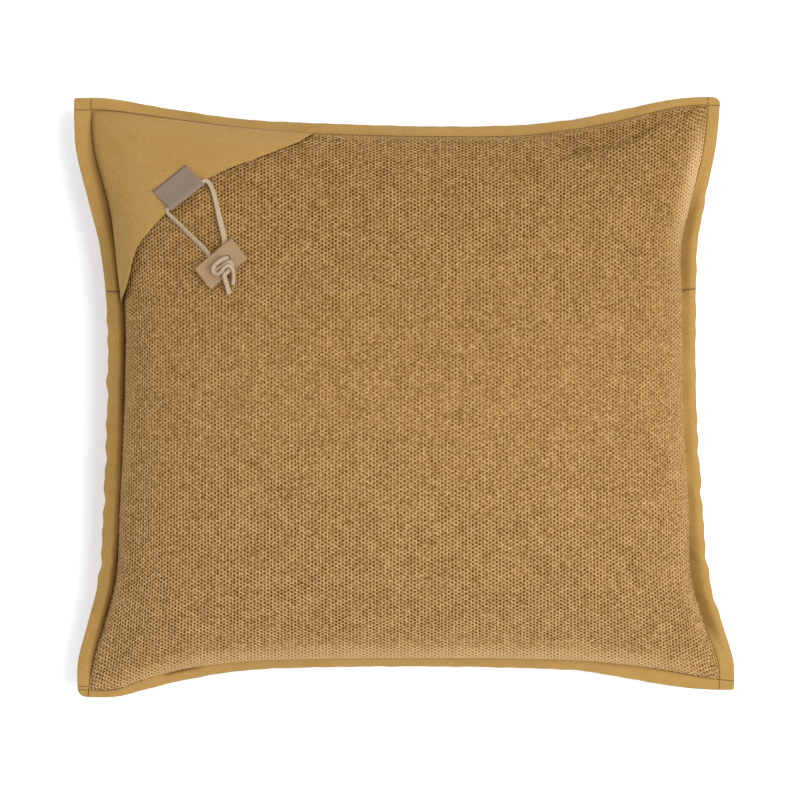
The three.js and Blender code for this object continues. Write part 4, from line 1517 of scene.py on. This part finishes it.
def knit_lattice(half_width, half_height):
    """Points of the knit on flat cloth: three to two columns of stitches, and two rows to one course.
    Every third point of a row is the gap inside a loop, and the gaps of neighbouring rows lie between."""
    step, rise = WALE * 2 / 3, COURSE / 2
    columns, rows = 3 * math.ceil(half_width / step / 3), 2 * math.ceil(half_height / rise / 2)
    i, j = np.meshgrid(np.arange(-columns, columns + 1), np.arange(-rows, rows + 1))
    odd = j % 2
    places = np.stack([(i + 0.5 * odd) * step, j * rise], -1)
    index = np.arange(i.size).reshape(i.shape)
    a, b, c, d = index[:-1, :-1], index[:-1, 1:], index[1:, :-1], index[1:, 1:]
    from_odd = odd[:-1, :-1] == 1
    first = np.stack([a, b, np.where(from_odd, d, c)], -1)
    second = np.stack([np.where(from_odd, a, b), d, c], -1)
    triangles = np.concatenate([first.reshape(-1, 3), second.reshape(-1, 3)])
    return places.reshape(-1, 2), (i % 3 == odd).ravel(), triangles


def lay_out(places, across_table, up_table):
    """The stations of places on flat cloth, each station read along the line of the other."""
    rounds = 4
    u = np.full(len(places), 0.5)
    v = read_stations(up_table, u, places[:, 1])
    for _ in range(rounds):
        u = read_stations(across_table, v, places[:, 0])
        v = read_stations(up_table, u, places[:, 1])
    return u, v


def stretch_and_painted_light(across, up):
    """How pale the knit is painted beside its seams: partly because it is pulled tight, partly as painted
    light on its walls.
    """
    stretch_and_light = np.zeros(across.shape)
    for name, (away, along) in from_sides(across, up).items():
        near = 1 - smooth_step(away * FACE_SPAN / PALE_REACH[name])
        stretch_and_light = np.maximum(stretch_and_light, edge_value(name, EDGES[name].pale, along) * near)
    return stretch_and_light


def knit_form():
    """The knit, cut off at its seams, and how open the gap is at each point, which sets its painted shade;
    loop tops are below zero.
    """
    across_table, up_table = cloth_tables()
    places, gaps, faces = knit_lattice(across_table[1], up_table[1])
    rng = np.random.default_rng(11)
    loose = places + rng.normal(0, LOOP_SCATTER, places.shape) * (WALE, COURSE)
    u, v = lay_out(loose, across_table, up_table)
    on_seams = np.stack([u == 0, u == 1, v == 0, v == 1], -1)
    faces = faces[~on_seams[faces].all(axis=1).any(axis=-1)]
    used, faces = np.unique(faces, return_inverse=True)
    faces = faces.reshape(-1, 3)
    u, v, places = u[used], v[used], places[used]
    gaps = gaps[used] & ~on_seams[used].any(axis=-1)

    up = share_at(v)
    # Beside the seams the knit is paler, partly from its stretch and partly as painted light.
    stretch_and_light = stretch_and_painted_light(share_at(u), up)
    # Up the face, gaps open wider at the top as partly painted shade, and loops near the bottom get painted
    # light.
    openness_and_shade = np.interp(up, WAY_UP, GAP_OPENNESS_AND_SHADE) * (1 - GAPS_CLOSE * stretch_and_light)
    gap_size = openness_and_shade * rng.uniform(*GAP_SIZES, len(u))
    # Loop tops are painted paler by a random share: partly yarn tone, partly a painted highlight where a loop
    # stands up.
    loop_top = np.maximum(stretch_and_light, rng.uniform(*TOP_SIZES, len(u)) + np.interp(up, WAY_UP, LOOP_PAINTED_LIGHT))
    open_gap = np.where(gaps, gap_size, -loop_top)
    points = face_point(u, v) - normals_of(face_point, u, v) * (LOOP_DEPTH * open_gap)[:, None]
    a, b, c = (points[faces[:, k]] for k in range(3))
    no_area = 1e-10
    faces = faces[np.linalg.norm(np.cross(b - a, c - a), axis=-1) > no_area]
    return Form(points, faces, places[faces].reshape(-1, 2) * MM_PER_METRE), open_gap


def add_face(material):
    form, open_gap = knit_form()
    face = add_piece("knitted_face", form, material, smooth=False)
    face.data.attributes.new(GAP_VALUE, "FLOAT", "POINT").data.foreach_set("value", open_gap.astype("f"))
    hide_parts("cushion_body")


# The canvas back

def hemmed_back(u, v):
    """The back's upper panel lies over the lower one; above the hem the cloth steps in by its thickness."""
    rise = HEM_STEP * smooth_step((share_at(v) - SIDE_SEAM) / HEM_SPAN)
    fade = np.minimum(1, HEM_FADE * swell(u, v))
    return back_point(u, v) + normals_of(back_point, u, v) * (rise * fade)[..., None]


def flipped(form):
    """The same form with its faces turned over."""
    cloth = form.cloth.reshape(-1, form.faces.shape[1], 2)[:, ::-1].reshape(-1, 2)
    return form._replace(faces=form.faces[:, ::-1], cloth=cloth)


def add_back(material):
    in_step = station_at(SIDE_SEAM) + np.linspace(0, HEM_ROWS["span"], HEM_ROWS["count"])
    rows = np.sort(np.concatenate([np.linspace(0, 1, BACK_ROWS), in_step]))
    u, v = np.meshgrid(np.linspace(0, 1, BACK_COLUMNS + 1), rows)
    points = hemmed_back(u, v)
    form = flipped(sheet_form(points, points[..., :2] * MM_PER_METRE))
    back = add_piece("canvas_back", form, material)
    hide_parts("cushion_body")


def add_hem_stitches(thread):
    """The row of stitches across the back, kept clear of the surface that the cushion lies on."""
    raised, clear = 0.2 * THREAD_RADIUS, 1.6 * THREAD_RADIUS
    u = np.linspace(HEM_STITCHES["margin"], 1 - HEM_STITCHES["margin"], HEM_STITCHES["points"])
    v = np.full(u.shape, station_at(SIDE_SEAM) - HEM_STITCHES["below"])
    normals = -normals_of(back_point, u, v)
    route = hemmed_back(u, v) + normals * raised
    route[:, 2] = np.maximum(route[:, 2], clear)
    add_piece("back_hem_stitches", joined(stitch_forms(route, normals)), thread)


# The border

def pucker_size(name, station):
    """How high the fine puckers are along a side."""
    total = 0.0
    for row in PUCKERS:
        if row.side == name:
            rising = smooth_step((station - row.first) / PUCKER_FADE)
            total = total + row.size * rising * smooth_step((row.last - station) / PUCKER_FADE)
    return total


def border_middle(name, station, depth):
    """The middle of the border's thickness. It droops where it looks narrower than it is."""
    station, depth = np.broadcast_arrays(station, depth)
    width = border_width(name, station)
    across, up = {
        "bottom": (station, np.zeros_like(station)),
        "top": (station, np.ones_like(station)),
        "left": (np.zeros_like(station), station),
        "right": (np.ones_like(station), station),
    }[name]
    away = smooth_step(np.minimum(station, 1 - station) / LEVEL_AT_CORNER)
    travelled = station * side_length(name)
    droop = np.sqrt(np.maximum(0, BORDER_WIDTH**2 - width**2))
    wave = WAVE_HEIGHT * np.sin(2 * np.pi * travelled / WAVE_LENGTH)
    pucker = pucker_size(name, station) * sum(
        row.share * np.sin(2 * np.pi * travelled / row.length + row.phase) for row in PUCKER_WAVES
    )
    drop = (wave + pucker - droop) * away * (1 - depth)
    sinking = smooth_step((depth - SINK_FROM[name]) / (1 - SINK_FROM[name]))
    drop = drop - edge_value(name, EDGES[name].sink, station) * sinking
    plan = border_plan(name, station, depth)
    plan = plan + SIDES[name].inward * (pucker * away * (1 - depth))[..., None]
    return np.concatenate([plan, (seam_height(across, up) + drop)[..., None]], -1)


def pressed_height(depth):
    """Height of the border's top in half thicknesses: the stitch line and the seam press it down."""
    at_stitches = np.exp(-(((depth - STITCH_DEPTH) / STITCH_PRESS["span"]) ** 2))
    at_seam = smooth_step((depth - SEAM_PRESS["from"]) / (1 - SEAM_PRESS["from"]))
    return 1 - STITCH_PRESS["share"] * at_stitches - SEAM_PRESS["share"] * at_seam


def border_section():
    """Once round the folded strip, from the seam over the top to the fold and back: depths and heights."""
    fold = BORDER_HALF / BORDER_WIDTH
    flat = np.linspace(INTO_SEAM, fold, FLAT_STEPS)
    pinch = pressed_height(flat)
    turn = np.linspace(0, np.pi, FOLD_STEPS + 1)[1:-1]
    depths = np.concatenate([flat, fold - fold * np.sin(turn), flat[::-1]])
    heights = np.concatenate([pinch, np.cos(turn), -pinch[::-1]])
    return depths, heights * BORDER_HALF


def leaned(name, station, depth):
    """Stations on a side, moved so that they lean with its join."""
    near = np.exp(-(((station - SIDE_SEAM) / JOIN_LEAN_SPAN) ** 2))
    return station + JOIN_LEAN.get(name, 0.0) * depth * near


def add_border(name, runs, material):
    """A folded strip along runs of sides, each from one share of its side to another."""
    depths, heights = border_section()
    rings = []
    for k, (side, first, last) in enumerate(runs):
        steps = round(side_length(side) * abs(last - first) / BORDER_STEP)
        stations = np.linspace(first, last, steps + 1)[1 if k else 0:]
        middle = border_middle(side, leaned(side, stations[:, None], depths[None, :]), depths[None, :])
        pressed = 1.0
        if side in ("left", "right"):
            from_join = side_length(side) * np.abs(stations - SIDE_SEAM)[:, None]
            free = smooth_step(from_join / JOIN_PRESS["reach"])
            pressed = JOIN_PRESS["share"] + (1 - JOIN_PRESS["share"]) * free
        rings.append(middle + (heights[None, :] * pressed)[..., None] * UP)
    border = add_piece(name, loft_form(np.concatenate(rings)), material)
    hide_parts(name.replace("canvas_", ""))


def border_top(name, places):
    """Height of a border's top at places near its corners."""
    start, end = corner_point(SIDES[name].first), corner_point(SIDES[name].last)
    along = np.clip((places - start) @ side_direction(name) / side_length(name), 0, 1)
    inset = (places - start - along[:, None] * (end - start)) @ SIDES[name].inward
    depth = np.clip(inset / border_width(name, along), 0, 1)
    first, last = seam_ends(name)
    station = np.clip((along - first * depth) / (1 - depth + (last - first) * depth), 0, 1)
    return border_middle(name, station, depth)[..., 2] + BORDER_HALF * pressed_height(depth)


def topstitch_route(name):
    """The stitch line along a side, run on at both ends to the outer edge of the next side."""
    stations = np.linspace(0, 1, ROW_POINTS)
    line = border_middle(name, stations, STITCH_DEPTH) + UP * BORDER_HALF * pressed_height(STITCH_DEPTH)
    ends = []
    for end, corner_name, last, inner in ((0, SIDES[name].first, 0, 4), (1, SIDES[name].last, -1, -5)):
        outward = unit(line[last] - line[inner])
        corner = np.append(corner_point(corner_name), line[last][2])
        reach = abs((corner - line[last]) @ outward) - ROW_MARGIN
        past = line[last] + outward * np.linspace(reach, ROW_MARGIN, CORNER_STEPS)[:, None]
        next_side, _ = OTHER_SIDE[name, end]
        past[:, 2] = border_top(next_side, past[:, :2])
        ends.append(past)
    return np.concatenate([ends[0], line, ends[1][::-1]])


def side_join_route(name):
    """The sewn join across a side border, from the seam to the outer edge."""
    depth = np.linspace(JOIN_STITCHES["inner"], JOIN_STITCHES["outer"], JOIN_STITCHES["points"])
    line = border_middle(name, leaned(name, SIDE_SEAM, depth), depth)
    return line + UP * BORDER_HALF * JOIN_PRESS["share"]


def add_topstitching(thread):
    """Thread on the border's top, underside and joins, and a second row at the lower left corner."""
    tops = [topstitch_route(name) for name in SIDES]
    undersides = [route - UP * 2 * BORDER_HALF * pressed_height(STITCH_DEPTH) for route in tops]
    second_row = topstitch_route("bottom")[:CORNER_STEPS]
    second_row[:, 1] += SECOND_ROW
    second_row[:, 2] = border_top("left", second_row[:, :2])
    joins = [side_join_route(name) for name in ("left", "right")]
    forms = []
    for side, routes in ((1, [*tops, second_row, *joins]), (-1, undersides)):
        for route in routes:
            forms += stitch_forms(route, np.tile(UP * side, (len(route), 1)))
    add_piece("border_topstitching", joined(forms), thread)


# The corner flap

def flap_section():
    """From the flap's tip over its top to the free edge, round it and back underneath: shares and lifts."""
    half = FLAP["half"]
    shares = np.linspace(0, 1, FLAP_MESH["rows"])
    turn = np.linspace(0, np.pi, FLAP_MESH["turn"])[1:-1]
    outward = np.concatenate([shares, 1 + FLAP["rounding"] * np.sin(turn), shares[::-1]])
    lift = np.concatenate([np.full(len(shares), half), half * np.cos(turn), np.full(len(shares), -half)])
    return outward, lift + FLAP["clearance"] + half


def add_flap(material):
    # The columns lie close together beside the two seams, where the flap turns down steeply.
    spread = (1 - np.cos(np.linspace(0, np.pi, FLAP_MESH["columns"] + 1))) / 2
    edge = smooth_route(FLAP_EDGE, FLAP_MESH["edge_step"])
    edge = edge[(spread * (len(edge) - 1)).round().astype(int)]
    end = np.stack(stations_under(edge), -1)
    # The free edge starts in the top seam and ends in the left one.
    end[0, 1] = 1.0
    end[-1, 0] = 0.0
    tip = np.array([0.0, 1.0])
    outward, lift = flap_section()
    reach = FLAP["tip"] + (1 - FLAP["tip"]) * outward
    place = tip + (end - tip)[:, None, :] * reach[None, :, None]
    u, v = place[..., 0], place[..., 1]
    loose = smooth_step(np.minimum(u, 1 - v) / SEWN_IN["stations"])
    near_edge = smooth_step((reach[None, :] - FREE_FROM) / (1 - FREE_FROM))
    free = curve_through(FREE_EDGE["along"], FREE_EDGE["lift"], spread[:, None]) * near_edge
    off = lift[None, :] * (SEWN_IN["share"] + (1 - SEWN_IN["share"]) * loose) + free * loose
    rings = face_point(u, v) + normals_of(face_point, u, v) * off[..., None]
    flap = add_piece("canvas_corner_flap", loft_form(rings), material)
    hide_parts("corner_flap")


# The label

def add_label(material, thread):
    """A tape folded over the cord, and the stitches along its sewn edge."""
    seat = seated_frame(LABEL, LABEL_CLEARANCE)
    section = smooth_route(LABEL_SECTION, LABEL_MESH["step"])
    ahead = unit(np.gradient(section, axis=0))
    side = np.stack([ahead[:, 1], -ahead[:, 0]], -1) * TAPE_HALF
    outline = np.concatenate([section + side, (section - side)[::-1]])
    along = np.linspace(-0.5, 0.5, LABEL_MESH["columns"]) * LABEL["length"]
    places = np.empty((len(along), len(outline), 3))
    places[..., 0] = along[:, None]
    places[..., 1:] = outline[None]
    label = add_piece("tape_label", loft_form(in_frame(seat, places)), material)
    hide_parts("label")
    row = np.empty((len(along), 3))
    row[:, 0] = along * LABEL_ROW["share"]
    row[:, 1] = LABEL["width"] / 2 - LABEL_ROW["in"]
    row[:, 2] = LABEL_SECTION[-1][1] + TAPE_HALF
    normals = np.tile(seat[2], (len(row), 1))
    forms = stitch_forms(in_frame(seat, row), normals, **LABEL_STITCH)
    add_piece("label_stitches", joined(forms), thread)


# Putting the cushion together

add_camera()
add_light()
add_floor()
cotton = braided_cotton()
left_cord, left_route, left_facts = add_cord("cord_left", -1, LEFT_LEG, cotton)
right_cord, right_route, right_facts = add_cord("cord_right", 1, RIGHT_LEG, cotton)
knot = add_knot(cotton)
toggle = add_toggle(tanned_leather(), cut_leather())

settle_cover()
canvas = woven_canvas()
thread = sewing_thread()
add_face(knitted_yarn())
add_back(canvas)
add_hem_stitches(thread)
add_border("canvas_border_upper", [("left", SIDE_SEAM, 1), ("top", 0, 1), ("right", 1, SIDE_SEAM)], canvas)
add_border("canvas_border_lower", [("right", SIDE_SEAM, 0), ("bottom", 1, 0), ("left", 0, SIDE_SEAM)], canvas)
add_topstitching(thread)
add_flap(canvas)
add_label(woven_tape(), thread)
